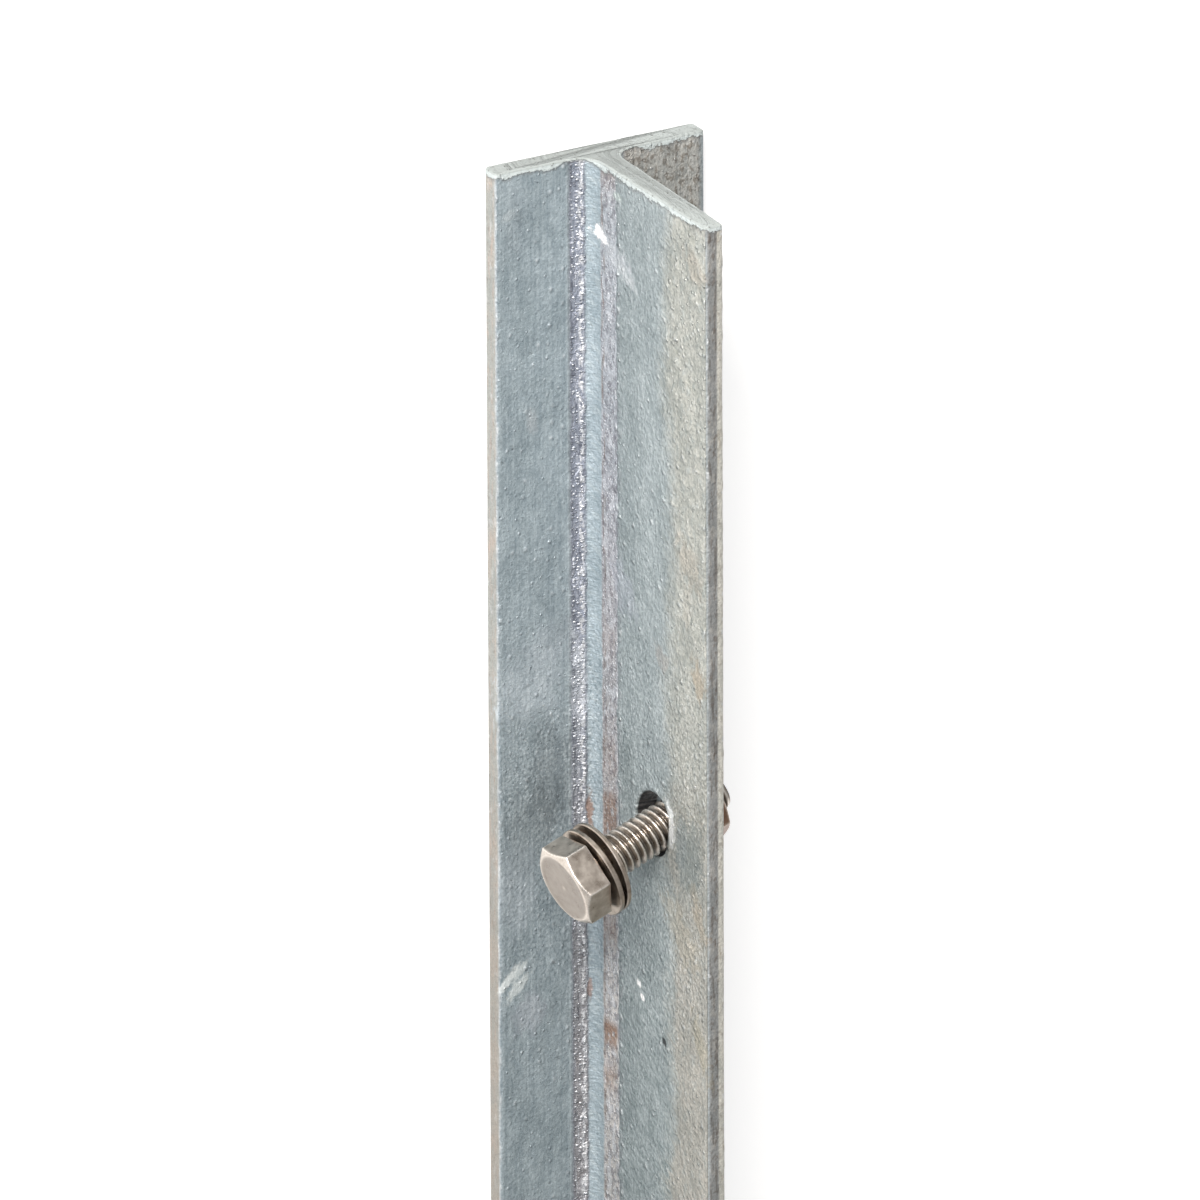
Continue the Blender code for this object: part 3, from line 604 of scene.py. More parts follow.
# what the coat is in each area, laid on in this order: colour layers (pattern, its low and high threshold, strength,
# colour) and relief too small for the mesh (pattern, height in mm)
zincCoat = [
    ("outerWeb", [(None, 0, 0, 0.92, "#CDCCC3"), ("patch", 0.60, 0.74, 0.35, "#CBBDAD"),
                  ("broadRuns", 0.58, 0.74, 0.25, "#C4C2B2")], []),
    ("outerLow", [(None, 0, 0, 0.80, "#CDC8BF"), ("runs", 0.50, 0.62, 0.40, "#B9B2A8")], [("runs", 0.16)]),
    ("leftLow", [("runs", 0.46, 0.62, 0.70, "#93A0A1")], [("runs", 0.10)]),
    # painted highlights on the pimples' tips
    ("lumpyWeb", [("pimples", 0.35, 0.95, 0.65, "#FCFCF6")], [("pimples", 0.28)]),
    ("web", [("lumps", 0.50, 0.66, 0.30, "#AEB9B9"), ("clump", 0.56, 0.68, 0.30, "#D5DCDC"),
             # painted highlights on the few larger pimples
             ("fewPimples", 0.35, 0.9, 0.50, "#F4F7F7"), ("pits", 0.2, 0.9, 0.30, "#6A6F70")],
     [("runs", 0.07), ("clump", 0.12), ("lumps", 0.16), ("pepper", 0.07), ("fewPimples", 0.22), ("pits", -0.12)]),
    ("strip", [("run", 0, 0, 1.0, None), ("clump", 0.46, 0.58, 0.65, "#84828A"),
               # painted glints on the strip's grains
               ("lumps", 0.48, 0.60, 0.65, "#E8EBF0"), ("stripGrains", 0.10, 0.7, 0.75, "#F6F7FB")],
     [("stripGrains", 0.12), ("across", 0.08)]),
    ("stripRust", [("lumps", 0.32, 0.48, 0.85, "#A27C62")], []),
    # painted glints on the beads along the strip's inner edge
    ("stripInside", [("smudge", 0.48, 0.62, 0.60, "#8C7B70"), ("edgeBeads", 0.3, 0.8, 0.8, "#F2F3F7")],
     [("edgeBeads", 0.20)]),
    # painted glints on the beads along the strip's outer edge
    ("stripOutside", [("clump", 0.46, 0.60, 0.40, "#8B8A92"), ("edgeBeads", 0.15, 0.9, 0.75, "#F2F6F7")],
     [("edgeBeads", 0.36)]),
    ("root", [("across", 0.44, 0.60, 0.55, "#A2B2BA"), ("runs", 0.50, 0.64, 0.50, "#CFDADD")], [("across", 0.12)]),
    # painted shade in the bead's hollows
    ("bead", [("lumps", 0.50, 0.62, 0.55, "#666A77"), ("across", 0.54, 0.64, 0.50, "#5D616D")], []),
    ("lowBead", [(None, 0, 0, 0.50, "#A39B94")], []),
    # painted shade and painted highlights on the bead's grains and clumps
    ("bead", [("smudge", 0.42, 0.32, 0.55, "#50545F"), ("beadGrains", 0.12, 0.7, 0.95, "#EEF1F7"),
              ("smudge", 0.54, 0.64, 0.45, "#E4E8F0")], [("beadGrains", 0.22), ("clump", 0.30), ("across", 0.15)]),
    # a painted highlight down the bead's middle, and painted shade along its edge
    ("beadHighlight", [("clump", 0.45, 0.55, 0.80, "#FAFBFE")], []), ("beadShade", [(None, 0, 0, 0.55, "#61656E")], []),
    ("farToe", [(None, 0, 0, 1.0, "#E6E4DA"), ("clump", 0.52, 0.64, 0.45, "#A79F92"),
                ("smudge", 0.56, 0.68, 0.35, "#B8A78F")], []),
    ("nearToe", [("smudge", 0.50, 0.62, 0.60, "#726A62"), ("lumps", 0.52, 0.64, 0.50, "#C3BFB8"),
                 ("clump", 0.56, 0.66, 0.60, "#7A6F66")], []),
    # painted glints along the web toe's edge
    ("toeEdgeGlints", [("edgeBeads", 0.1, 0.5, 0.8, "#EDF0F1")], []),
    ("endFace", [("cloud", 0.48, 0.62, 0.30, "#B09C8C"), ("smudge", 0.50, 0.66, 0.45, "#C3AB9D"),
                 ("clump", 0.54, 0.68, 0.45, "#8E8478"), ("lumps", 0.56, 0.66, 0.50, "#D5D6D6")], []),
    ("lowEndFace", [(None, 0, 0, 0.42, "#A0978C")], []),
    # painted glints on the flange's edge round
    ("edgeGlints", [("clump", 0.46, 0.60, 0.55, "#EEF1F2")], []),
    ("farFlange", [(None, 0, 0, 1.0, "#D8D6CF"), ("clump", 0.50, 0.60, 0.65, "#877C6F"),
                   ("runs", 0.56, 0.66, 0.55, "#857B70"), ("smudge", 0.56, 0.66, 0.60, "#EDEBE5"),
                   # painted glints on the far flange
                   ("stripGrains", 0.3, 0.8, 0.75, "#F2F0EA")], [("clump", 0.25)]),
    # painted highlights on the flange's pimples
    ("flange", [("flangePimples", 0.35, 0.9, 0.40, "#F2F6F8"), ("pits", 0.2, 0.9, 0.35, "#5A5F61")],
     [("streak", 0.05), ("flangePimples", 0.17), ("pepper", 0.07), ("pits", -0.12)]),
    # painted glints as white pepper specks by the head
    ("byHead", [("pepper", 0.30, 0.9, 0.25, "#F4F8FA"), ("fine", 0.55, 0.68, 0.42, "#E9EEF0"),
                ("fine", 0.46, 0.35, 0.32, "#6F797C")], []),
    # painted shade inside the hole's bore
    ("bore", [(None, 0, 0, 0.95, "#4F4E4F"), ("clump", 0.48, 0.60, 0.7, "#77706A")], []),
    ("all", [], [("fine", 0.07), ("clump", 0.14)]),
]
# greys that multiply what is there, marks too: (area, pattern, strength, colour)
zincGreys = [
    ("web", "runs", 0.26, "#C8CECF"), ("web", "fine", 0.35, "#C9CECE"), ("web", "clump", 0.45, "#D2D7D7"),
    ("flange", "streak", 0.42, "#C6CCD1"), ("flange", "clump", 0.40, "#D6DADC"), ("flange", "lumps", 0.45, "#D3D8DC"),
    ("all", "cloud", 0.7, "#DCDFE0"), ("all", "fine", 0.45, "#D2D4D5"), ("all", "grain", 0.45, "#D0D2D4"),
]
# marks on the near side: (mm from the top end, mm from the web's toe along the section, reach along, reach across,
# lean in degrees, colour, strength)
zincMarks = {
    "flangeBloom": (91.4, 47.3, 10.0, 7.5, -20, "#DAE3E8", 0.85),
    "bloomByRoot": (84.6, 42.8, 6.0, 4.0, -40, "#CDD5DA", 0.55),
    "flangeStain": (109.0, 43.4, 12.5, 5.5, 0, "#90979A", 0.36),
    "stainLow": (117.0, 46.8, 9.0, 6.0, -10, "#8A9091", 0.35),
    "cloudByHead": (127.5, 50.0, 11.0, 4.5, 0, "#D3DBE0", 0.65), "swirl": (150.5, 47.9, 4.4, 4.0, 0, "#D6DCE2", 0.8),
    "topSmear": (9.5, 50.0, 8.0, 2.4, 0, "#C6CFD4", 0.40), "dab": (44.8, 46.8, 3.0, 1.3, 0, "#DCE0E2", 0.60),
    "beadFresh": (94.0, 38.2, 12.0, 1.6, 0, "#E6EAF0", 0.50),
    "splashTail": (15.6, 28.6, 6.2, 3.0, 64, "#E6E9ED", 0.85),
    "splashSpray": (17.6, 26.0, 4.6, 1.2, 66, "#EEF1F3", 0.85), "dots": (4.3, 28.6, 1.1, 2.2, 0, "#E9F2EE", 0.80),
    "webBloom": (73.6, 27.0, 6.5, 4.0, 30, "#D0D4DE", 0.50), "nick": (150.2, 14.9, 1.2, 0.6, 30, "#2E3030", 0.9),
    "clearPatch": (114.5, 7.0, 9.0, 5.5, 0, "#AEB7B6", 0.70), "tanByToe": (81.6, 4.0, 5.0, 2.4, 20, "#CDB08C", 0.40),
    "peachTop": (8.6, 4.8, 5.0, 2.6, 40, "#D6C3AE", 0.30), "peachMid": (62.0, 6.4, 7.0, 3.6, 40, "#D0BDA9", 0.30),
    "pinkWeb": (81.5, 15.4, 3.6, 2.0, 40, "#CBB8AC", 0.30), "tanLow": (124.0, 4.0, 7.0, 2.0, 25, "#CBB494", 0.35),
    "tanFoot": (146.5, 3.8, 8.0, 2.0, 20, "#CDBF9E", 0.35), "darkByHole": (105.6, 26.0, 8.0, 3.0, 0, "#96A0A1", 0.45),
    "beigeRidges": (129.0, 9.5, 10.0, 4.0, 40, "#CFC6B4", 0.50),
    "smoothByHole": (112.5, 9.6, 6.0, 2.6, 0, "#B9C1C2", 0.65),
    "topSquiggle": (7.6, 50.9, 1.2, 2.0, 30, "#DCE4E6", 0.7),
    "topSquiggleDark": (8.0, 49.0, 2.6, 1.0, 20, "#8A969B", 0.45),
    "rustRootTop": (116.0, 36.4, 4.2, 0.8, 0, "#A88673", 0.80),
    "rustRootLow": (148.0, 36.6, 2.6, 0.6, 0, "#B08F82", 0.70),
}
# brighter marks, which lie over the greys: scrapes and a crescent by the hole, a painted highlight on the splash and
# two painted glints
brightMarksAndHighlights = {
    "splashHighlight": (12.8, 33.7, 2.5, 1.35, 62, "#FFFFFF", 1.9), "holeCrescent": (110.4, 12.7, 4.6, 1.7, 9, "#E2E7E8", 1.2),
    "glintPair": (142.5, 22.8, 1.1, 0.8, 50, "#FFFFFF", 1.3),
    "glintSmall": (144.6, 21.6, 0.9, 0.6, 50, "#FFFFFF", 1.3),
    "scrape": (143.6, 51.6, 4.0, 1.0, -42, "#E6ECEC", 0.9),
    "scrapeTwo": (145.8, 50.2, 4.4, 1.1, -44, "#DCE3E3", 0.75),
    "scrapeThree": (142.8, 49.6, 3.0, 0.8, -38, "#DCE3E3", 0.65),
}
# colours down the strip beside the root: (mm from the top end, colour), and how rusty it is there
stripRun = [(0, "#B5ACAA"), (8, "#CDD2D8"), (60, "#C3C5CC"), (100, "#C4C0C1"), (150, "#ECE7E3"), (230, "#E4DFDA")]
rustRun = [(0, "60"), (5, "20"), (40, "00"), (66, "30"), (76, "50"), (80, "10"), (84, "90"), (89, "10"), (99, "18"),
           (104, "A0"), (108, "90"), (110, "30"), (113, "E8"), (119, "F0"), (121, "60"), (137, "C0"), (140, "20"),
           (152, "28"), (153.6, "FF"), (156.4, "F0"), (158, "20"), (163, "D0"), (166, "20"), (230, "28")]


def product(tree, *factors):
    # multiplies masks and plain numbers; a mask comes first
    total = factors[0]
    for factor in factors[1:]:
        if factor == 1.0:
            continue
        plain = isinstance(factor, (int, float))
        total = addNode(tree, "Math", {1: factor} if plain else {}, {0: total} if plain else {0: total, 1: factor},
                        operation="MULTIPLY")
    return total


def band(tree, value, low, high, soft):
    # 1 where the value lies between low and high, with soft edges
    up = addNode(tree, "MapRange", {1: low - soft, 2: low + soft}, {0: value}, interpolation_type="SMOOTHSTEP")
    down = addNode(tree, "MapRange", {1: high - soft, 2: high + soft, 3: 1.0, 4: 0.0}, {0: value},
                   interpolation_type="SMOOTHSTEP")
    return product(tree, up, down)


def layOver(tree, colour, mask, other, kind="MIX"):
    # lays a colour, fixed or linked, over what is there, as far as the mask says
    fixed, linked = ({7: other}, {}) if isinstance(other, tuple) else ({}, {7: other})
    return addNode(tree, "Mix", fixed, {**linked, 0: mask, 6: colour}, output=2, data_type="RGBA", blend_type=kind)


def coloursAlong(tree, distance, stops, reach):
    # colours that follow a distance in mm, mirrored beyond the reach: (place in mm, hex colour)
    share = addNode(tree, "Math", {1: 1 / reach}, {0: distance}, operation="MULTIPLY")
    share = addNode(tree, "Math", {1: 1.0}, {0: share}, operation="PINGPONG")
    colour = addNode(tree, "ValToRGB", links={0: share})
    ramp = colour.node.color_ramp
    while len(ramp.elements) < len(stops):
        ramp.elements.new(0.5)
    for element, (place, hexCode) in zip(ramp.elements, stops):
        element.position, element.color = place / reach, linearColour(hexCode)
    return colour


def zincPattern(tree, name, patterns):
    # a named noise or field of domes, made where it is first asked for
    if name in patterns:
        return patterns[name]
    length, width, slanting, *caps = zincNoises.get(name) or zincCaps[name]
    seed = caps[-1] if caps else 0
    inCells = addNode(tree, "Mapping", {"Location": (seed, seed * 1.7, 0), "Scale": (1 / length, 1 / width, 1)},
                      {0: patterns["slanting" if slanting else "straight"]})
    if caps:
        # a dome in some of the cells: 1 at its middle, 0 at its own random reach
        share, smallest, largest = caps[:3]
        cells = addNode(tree, "TexVoronoi", {"Scale": 1.0}, {0: inCells}, voronoi_dimensions="2D").node.outputs
        draw = addNode(tree, "SeparateColor", links={0: cells["Color"]}).node.outputs
        chosen = addNode(tree, "Math", {1: share}, {0: draw[0]}, operation="LESS_THAN")
        reach = addNode(tree, "MapRange", {3: smallest, 4: largest}, {0: product(tree, draw[1], draw[1])})
        dome = addNode(tree, "MapRange", {2: 0.0, 4: 1.0}, {0: cells["Distance"], 1: reach},
                       interpolation_type="SMOOTHSTEP")
        patterns[name] = product(tree, dome, chosen)
    else:
        patterns[name] = addNode(tree, "TexNoise", {"Scale": 1.0, "Detail": 3.0, "Roughness": 0.55}, {0: inCells})
    return patterns[name]


def areaMask(tree, area, places):
    # how far a point belongs to a named area, or 1 for the whole coat
    if zincAreas[area] is None:
        return 1.0
    measure, low, high, soft, narrowedBy = zincAreas[area]
    return product(tree, band(tree, places[measure], low, high, soft), *[places[name] for name in narrowedBy])


def zincPlaces(tree, inMm, objectMm, patterns):
    # measures that areas and marks are laid out by, in mm, and soft parts of the bar from 0 to 1
    onSection = addNode(tree, "SeparateXYZ", links={0: inMm}).node.outputs
    side = addNode(tree, "Math", {1: toeMiddle}, {0: onSection[1]}, operation="SUBTRACT")
    fromToe = addNode(tree, "Math", links={0: side}, operation="ABSOLUTE")
    farSide = addNode(tree, "MapRange", {1: 0.25, 2: 0.55}, {0: side})
    nearSide = addNode(tree, "Math", {0: 1.0}, {1: farSide}, operation="SUBTRACT")
    fromTop = addNode(tree, "Math", {0: bar["topX"]}, {1: onSection[0]}, operation="SUBTRACT")
    # how far the bands' edges wander, a little for the crisp ones and a lot for the ragged ones
    lumps, patch, runs = (zincPattern(tree, name, patterns) for name in ("lumps", "patch", "runs"))
    wobble = addNode(tree, "Math", {1: 0.8, 2: -0.4}, {0: lumps}, operation="MULTIPLY_ADD")
    wander = addNode(tree, "Math", {1: 12.0, 2: -6.0}, {0: patch}, operation="MULTIPLY_ADD")
    wander = addNode(tree, "Math", {1: 6.0}, {0: runs, 2: wander}, operation="MULTIPLY_ADD")
    # distances from the hole's axis and from the web's middle plane
    local = addNode(tree, "VectorMath", {1: (bar["holeX"], 0, bar["holeZ"])}, {0: objectMm}, operation="SUBTRACT")
    flat = addNode(tree, "VectorMath", {1: (1, 0, 1)}, {0: local}, operation="MULTIPLY")
    sideways = addNode(tree, "SeparateXYZ", links={0: objectMm}, output=1)
    fromWeb = addNode(tree, "Math", links={0: sideways}, operation="ABSOLUTE")
    rusty = coloursAlong(tree, fromTop, [(place, "#" + 3 * tone) for place, tone in rustRun], zinc["runReach"])
    return {
        "round": fromToe, "fromTop": fromTop, "wobble": wobble, "farSide": farSide, "nearSide": nearSide,
        "wavy": addNode(tree, "Math", links={0: fromToe, 1: wobble}, operation="ADD"),
        "ragged": addNode(tree, "Math", links={0: fromToe, 1: wander}, operation="ADD"),
        "fromHole": addNode(tree, "VectorMath", links={0: flat}, output="Value", operation="LENGTH"),
        "rusty": addNode(tree, "SeparateColor", links={0: rusty}),
        "topPart": addNode(tree, "MapRange", {1: 14.0, 2: 70.0, 3: 1.0, 4: 0.3}, {0: fromTop}),
        "lowPart": addNode(tree, "MapRange", {1: 95.0, 2: 135.0}, {0: fromTop}),
        "besideToe": band(tree, fromToe, 1.65, 40.0, 0.1), "insideWeb": band(tree, fromWeb, -1.0, 1.75, 0.12),
        "besideEdges": product(tree, band(tree, fromToe, 2.2, 53.0, 0.2), nearSide),
    }


def layMarks(tree, colour, marks, places, fray):
    # a mark covers the points whose distance from its middle, in its own turned and stretched measure, stays under 1
    for d, fHere, reachX, reachS, lean, hexCode, strength in marks.values():
        cosine, sine = math.cos(math.radians(lean)), math.sin(math.radians(lean))
        squares = None
        for alongShare, acrossShare in ((cosine / reachX, -sine / reachX), (sine / reachS, cosine / reachS)):
            start = -(d * alongShare + fHere * acrossShare)
            part = addNode(tree, "Math", {1: acrossShare, 2: start}, {0: places["round"]}, operation="MULTIPLY_ADD")
            part = addNode(tree, "Math", {1: alongShare}, {0: places["fromTop"], 2: part}, operation="MULTIPLY_ADD")
            fixed, linked = ({2: 0.0}, {}) if squares is None else ({}, {2: squares})
            squares = addNode(tree, "Math", fixed, {0: part, 1: part, **linked}, operation="MULTIPLY_ADD")
        reach = addNode(tree, "Math", {1: 0.5}, {0: squares}, operation="POWER")
        frayed = addNode(tree, "Math", links={0: reach, 1: fray}, operation="ADD")
        mask = addNode(tree, "MapRange", {1: 0.45, 2: 1.0, 3: strength, 4: 0.0}, {0: frayed},
                       interpolation_type="SMOOTHSTEP")
        colour = layOver(tree, colour, product(tree, mask, places["nearSide"]), linearColour(hexCode))
    return colour


def paintedEnd(tree, colour, places, objectMm):
    # zinc paint over the sawn end, run a little way over the edges, with a dull line below it; gives the colour, how
    # far a point is painted, and the brush's grain
    lean = (-1.0, math.tan(math.radians(bar["topAcrossDeg"])), -math.tan(math.radians(bar["topAlongWebDeg"])))
    plane = addNode(tree, "VectorMath", {1: lean}, {0: objectMm}, output="Value", operation="DOT_PRODUCT")
    depth = addNode(tree, "Math", {1: bar["topX"]}, {0: plane}, operation="ADD")
    ooze = addNode(tree, "TexNoise", {"Scale": 0.5, "Detail": 5.0, "Roughness": 0.65}, {0: objectMm})
    swing = zinc["paintSwing"]
    lip = addNode(tree, "Math", {1: swing, 2: zinc["paintMean"] - swing / 2}, {0: ooze}, operation="MULTIPLY_ADD")
    bare = addNode(tree, "MapRange", {3: 1.0, 4: 0.25}, {0: band(tree, places["round"], 35.5, 41.5, 1.6)})
    lip = addNode(tree, "Math", {1: 0.2}, {0: product(tree, lip, bare)}, operation="MAXIMUM")
    reachIn = addNode(tree, "Math", links={0: lip, 1: depth}, operation="SUBTRACT")
    painted = addNode(tree, "MapRange", {1: -0.05, 2: 0.08}, {0: reachIn})
    shade = addNode(tree, "MapRange", {1: -0.7, 2: -0.02, 4: 0.5}, {0: reachIn}, interpolation_type="SMOOTHSTEP")
    colour = layOver(tree, colour, shade, linearColour(zinc["dullLine"]))
    colour = layOver(tree, colour, painted, linearColour(zinc["paint"]))
    cut = product(tree, band(tree, depth, -0.06, 0.30, 0.10), 0.55)
    colour = layOver(tree, colour, cut, linearColour(zinc["cutLine"]))
    brushed = addNode(tree, "TexNoise", {"Scale": 1.6, "Detail": 4.0}, {0: objectMm})
    for low, high, strength, hexCode in brushMarks:
        shown = addNode(tree, "MapRange", {1: low, 2: high, 4: strength}, {0: brushed})
        colour = layOver(tree, colour, product(tree, painted, shown), linearColour(hexCode))
    return colour, painted, brushed


def zincMaterial():
    # hot-dip zinc on rolled steel: a dull blue-grey skin with drained runs and pimples, lighter in some patches,
    # painted highlights and glints on its drops, edges and bead, painted shade in the bead and the hole, rust showing
    # through beside the root, and light zinc paint brushed over the sawn end
    material, tree, shader = newMaterial("hotDipZinc")
    uv = addNode(tree, "UVMap", uv_map="profileMap")
    inMm = addNode(tree, "Mapping", {"Scale": (100, 100, 100)}, {0: uv})
    objectMm = addNode(tree, "Mapping", {"Scale": (1000, 1000, 1000)},
                       {0: addNode(tree, "TexCoord", output="Object")})
    slanting = addNode(tree, "Mapping", {"Rotation": (0, 0, math.radians(zinc["runLeanDeg"]))}, {0: inMm})
    patterns = {"straight": inMm, "slanting": slanting}
    places = zincPlaces(tree, inMm, objectMm, patterns)

    # crisp bands round the section: the same profile that the rolls, the dip and the runs left
    sectionStops = [(place, zinc[name]) for place, name in zincBands]
    colour, relief = coloursAlong(tree, places["wavy"], sectionStops, zinc["bandReach"]), 0.0
    run = addNode(tree, "Math", links={0: places["fromTop"], 1: places["wobble"]}, operation="ADD")
    stripTone = coloursAlong(tree, run, stripRun, zinc["runReach"])
    for area, layers, lumps in zincCoat:
        inArea = areaMask(tree, area, places)
        for pattern, low, high, strength, hexCode in layers:
            if pattern in (None, "run"):
                mask = product(tree, inArea, strength)
            else:
                shown = addNode(tree, "MapRange", {1: low, 2: high, 4: strength},
                                {0: zincPattern(tree, pattern, patterns)}, interpolation_type="SMOOTHSTEP")
                mask = product(tree, shown, inArea)
            colour = layOver(tree, colour, mask, linearColour(hexCode) if hexCode else stripTone)
        for pattern, height in lumps:
            part = product(tree, zincPattern(tree, pattern, patterns), inArea)
            linked, fixed = ({2: relief}, {}) if relief else ({}, {2: 0.0})
            relief = addNode(tree, "Math", {1: height, **fixed}, {0: part, **linked}, operation="MULTIPLY_ADD")

    # single marks on the near side, their edges frayed by noise
    fray = addNode(tree, "Math", {1: 1.6, 2: -1.3}, {0: patterns["lumps"]}, operation="MULTIPLY_ADD")
    fray = addNode(tree, "Math", {1: 1.0}, {0: patterns["fine"], 2: fray}, operation="MULTIPLY_ADD")
    colour = layMarks(tree, colour, zincMarks, places, fray)
    for area, pattern, strength, hexCode in zincGreys:
        shown = addNode(tree, "MapRange", {1: 0.62, 2: 0.36, 4: strength}, {0: zincPattern(tree, pattern, patterns)})
        shown = product(tree, shown, areaMask(tree, area, places))
        colour = layOver(tree, colour, shown, linearColour(hexCode), "MULTIPLY")
    colour = layMarks(tree, colour, brightMarksAndHighlights, places, fray)
    # painted shade: darker away from the top end, standing in for the light falling off down the rod
    falloffMask = addNode(tree, "MapRange", {1: 50.0, 2: 190.0}, {0: places["fromTop"]})
    colour = layOver(tree, colour, falloffMask, linearColour(zinc["falloffShade"]), "MULTIPLY")
    colour, painted, brushed = paintedEnd(tree, colour, places, objectMm)

    # the fine zinc is a little rougher, the bead smooth, and the paint is rough and no metal
    metallic = addNode(tree, "MapRange", {3: zinc["metallic"], 4: 0.05}, {0: painted})
    rough = addNode(tree, "MapRange", {1: 0.35, 2: 0.65, 3: zinc["roughness"] - 0.08, 4: zinc["roughness"] + 0.10},
                    {0: patterns["fine"]})
    rough = addNode(tree, "MapRange", {4: 0.28}, {0: areaMask(tree, "bead", places), 3: rough})
    rough = addNode(tree, "MapRange", {4: 0.60}, {0: painted, 3: rough})
    for pattern, height in ((painted, 0.16), (brushed, 0.22)):
        relief = addNode(tree, "Math", {1: height}, {0: pattern, 2: relief}, operation="MULTIPLY_ADD")
    bump = addNode(tree, "Bump", {"Strength": 1.0, "Distance": 0.001}, {"Height": relief})
    for socket, name in ((colour, "Base Color"), (metallic, "Metallic"), (rough, "Roughness"), (bump, "Normal")):
        tree.links.new(socket, shader.inputs[name])
    return material


steelFinish = {
    "screw": {"body": "#C6BFB7", "wearAndSheenTone": "#EFE8DF", "paintedShadeTone": "#6B655F", "roughness": 0.30},
    # the nut's darker, browner tones are painted shade: the screw's stainless as seen in shade on the web's far side
    "nut": {"body": "#927767", "wearAndSheenTone": "#F0E2D3", "paintedShadeTone": "#3A2F28", "roughness": 0.30},
    "washer": {"body": "#BBB2A8", "wearAndSheenTone": "#E2DACE", "paintedShadeTone": "#5A534A", "roughness": 0.30},
}


def stainlessMaterial(name, finish, shaped=True):
    # A2 stainless, cold formed: warm grey, half bright; paler on worn edges and crests, partly a painted highlight,
    # and darker as painted shade in the thread's grooves, under the head, on the head's face and in the nut's bore
    material, tree, shader = newMaterial(name)
    inObject = addNode(tree, "TexCoord", output="Object")
    inMm = addNode(tree, "VectorMath", {"Scale": 1000.0}, {0: inObject}, operation="SCALE")
    stain = addNode(tree, "TexNoise", {"Scale": 0.55, "Detail": 4.0, "Roughness": 0.6}, {0: inMm})
    grain = addNode(tree, "TexNoise", {"Scale": 3.2, "Detail": 2.0}, {0: inMm})
    tone = coloursAlong(tree, stain, [(0.34, "#BFB5AB"), (0.66, "#FFFCF8")], 1.0)
    colour = addNode(tree, "Mix", {0: 0.8, 6: linearColour(finish["body"])}, {7: tone}, output=2, data_type="RGBA",
                     blend_type="MULTIPLY")
    if shaped:
        wearAndSheen, paintedShade = (addNode(tree, "Attribute", output="Fac", attribute_name=kind) for kind in ("wearAndSheen", "paintedShade"))
        colour = layOver(tree, colour, paintedShade, linearColour(finish["paintedShadeTone"]))
        patchy = addNode(tree, "MapRange", {1: 0.3, 2: 0.6, 3: 0.35, 4: 1.0}, {0: grain})
        colour = layOver(tree, colour, product(tree, wearAndSheen, patchy), linearColour(finish["wearAndSheenTone"]))
    low, high = finish["roughness"] - 0.05, finish["roughness"] + 0.10
    rough = addNode(tree, "MapRange", {1: 0.3, 2: 0.7, 3: low, 4: high}, {0: stain})
    bump = addNode(tree, "Bump", {"Strength": 0.35, "Distance": 0.00004}, {"Height": grain})
    for socket, inputName in ((colour, "Base Color"), (rough, "Roughness"), (bump, "Normal")):
        tree.links.new(socket, shader.inputs[inputName])
    shader.inputs["Metallic"].default_value = 1.0
    return material


# the pieces: bar, screw and nut are built anew, the washers keep their CAD mesh and get the stamped finish
buildBar(zincMaterial())
buildScrew(stainlessMaterial("coldFormedStainlessScrew", steelFinish["screw"]))
buildNut(stainlessMaterial("stainlessNutInPaintedShade", steelFinish["nut"]))
washerSteel = stainlessMaterial("stampedStainlessWasher", steelFinish["washer"], shaped=False)
for node, slotName in (("washer_head_side", "stainless_washer_head_side"),
                       ("washer_web_side", "stainless_washer_web_side")):
    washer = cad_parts[node]
    washer.data.materials.clear()
    washer.data.materials.append(washerSteel)
print("pieces are built")


# the studio: a pale floor without an edge, soft light from above, and the photo's view
studio = {"floorSize": 200.0, "floorAlbedo": 0.80, "floorGlow": 0.50,
          "worldDim": 0.34, "worldBright": 0.66, "brightSide": (0.55, 0.65, 0.52)}


def buildFloor():
    size = studio["floorSize"]
    mesh = bpy.data.meshes.new("studioFloor")
    mesh.from_pydata([(-size, -size, -0.0004), (size, -size, -0.0004), (size, size, -0.0004), (-size, size, -0.0004)],
                     [], [(0, 1, 2, 3)])
    material, tree, shader = newMaterial("palePaperFloor")
    grey = studio["floorAlbedo"]
    shader.inputs["Base Color"].default_value = (grey, grey, grey, 1)
    shader.inputs["Roughness"].default_value = 1.0
    shader.inputs["Specular IOR Level"].default_value = 0.0
    rays = addNode(tree, "LightPath").node.outputs
    seen = addNode(tree, "Math", links={0: rays["Is Camera Ray"], 1: rays["Is Glossy Ray"]}, operation="MAXIMUM")
    seen = addNode(tree, "Math", links={0: seen, 1: rays["Is Transmission Ray"]}, operation="MAXIMUM")
    strength = product(tree, seen, studio["floorGlow"])
    shader.inputs["Emission Color"].default_value = (1, 1, 1, 1)
    tree.links.new(strength, shader.inputs["Emission Strength"])
    mesh.materials.append(material)
    floor = bpy.data.objects.new("studioFloor", mesh)
    bpy.context.scene.collection.objects.link(floor)


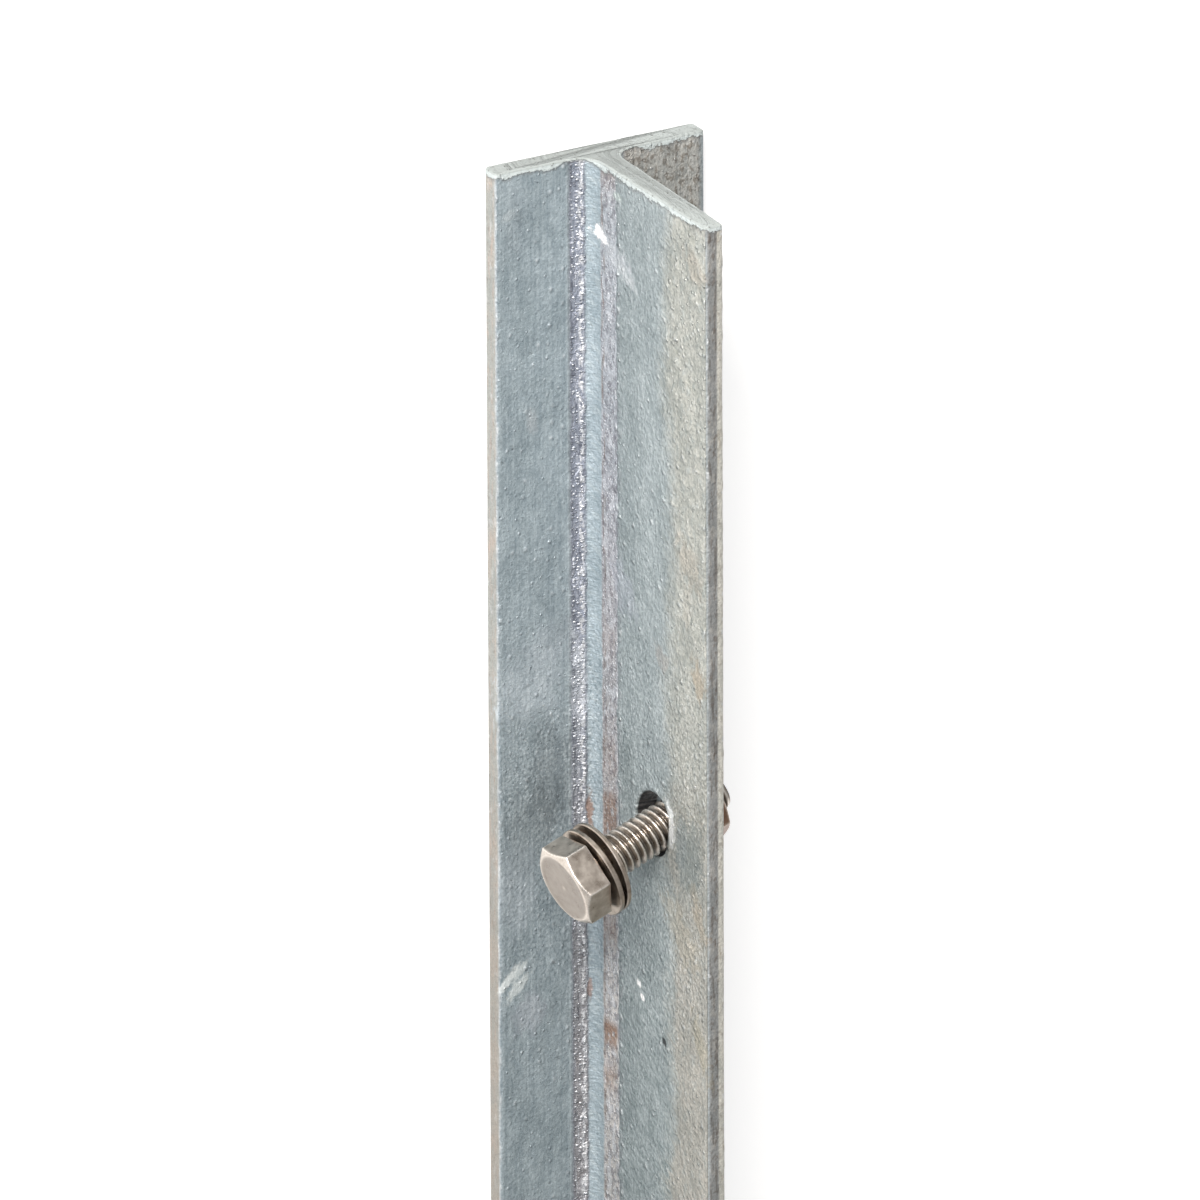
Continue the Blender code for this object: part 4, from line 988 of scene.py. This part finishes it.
def buildWorld():
    world = bpy.data.worlds.new("studioWorld")
    bpy.context.scene.world = world
    world.use_nodes = True
    tree = world.node_tree
    background = tree.nodes["Background"]
    background.inputs["Color"].default_value = (1, 1, 1, 1)
    rays = addNode(tree, "LightPath").node.outputs
    seen = addNode(tree, "Math", links={0: rays["Is Camera Ray"], 1: rays["Is Transmission Ray"]},
                   operation="MAXIMUM")
    direction = addNode(tree, "TexCoord", output="Generated")
    facing = addNode(tree, "VectorMath", {1: studio["brightSide"]}, {0: direction}, output="Value",
                     operation="DOT_PRODUCT")
    sky = addNode(tree, "MapRange", {1: -0.9, 2: 0.9, 3: studio["worldDim"], 4: studio["worldBright"]}, {0: facing},
                  interpolation_type="SMOOTHSTEP")
    level = addNode(tree, "MapRange", {4: 1.0}, {0: seen, 3: sky})
    tree.links.new(level, background.inputs["Strength"])


lamps = {
    "keySoftbox": {"at": (1.20, 0.62, 0.68), "aim": (0.40, 0, 0.02), "size": (0.45, 0.45), "watts": 17,
                   "colour": "#FFF8F2"},
    "sideSoftbox": {"at": (0.7, 1.6, 0.7), "aim": (0.40, 0, 0.02), "size": (1.6, 1.2), "watts": 7,
                    "colour": "#F4F7FF"},
}


def buildLamps():
    for name, lamp in lamps.items():
        data = bpy.data.lights.new(name, "AREA")
        data.shape = "RECTANGLE"
        data.size, data.size_y = lamp["size"]
        data.energy = lamp["watts"]
        data.color = linearColour(lamp["colour"])[:3]
        light = bpy.data.objects.new(name, data)
        light.location = lamp["at"]
        direction = Vector(lamp["aim"]) - Vector(lamp["at"])
        light.rotation_euler = direction.to_track_quat("-Z", "Y").to_euler()
        bpy.context.scene.collection.objects.link(light)


photoView = {"at": (2.77000532, 2.84842521, 4.75925203), "turnDeg": (-22.848, -31.0045, -90.2393), "lens": 1097.288}


def buildCamera():
    data = bpy.data.cameras.new("photoCamera")
    data.lens = photoView["lens"]
    data.sensor_width = 36
    data.clip_start, data.clip_end = 0.1, 400
    camera = bpy.data.objects.new("photoCamera", data)
    camera.location = photoView["at"]
    camera.rotation_euler = Euler([math.radians(v) for v in photoView["turnDeg"]])
    bpy.context.scene.collection.objects.link(camera)
    bpy.context.scene.camera = camera


buildFloor()
buildWorld()
buildLamps()
buildCamera()
bpy.context.scene.view_settings.view_transform = "Standard"
print("studio is set")
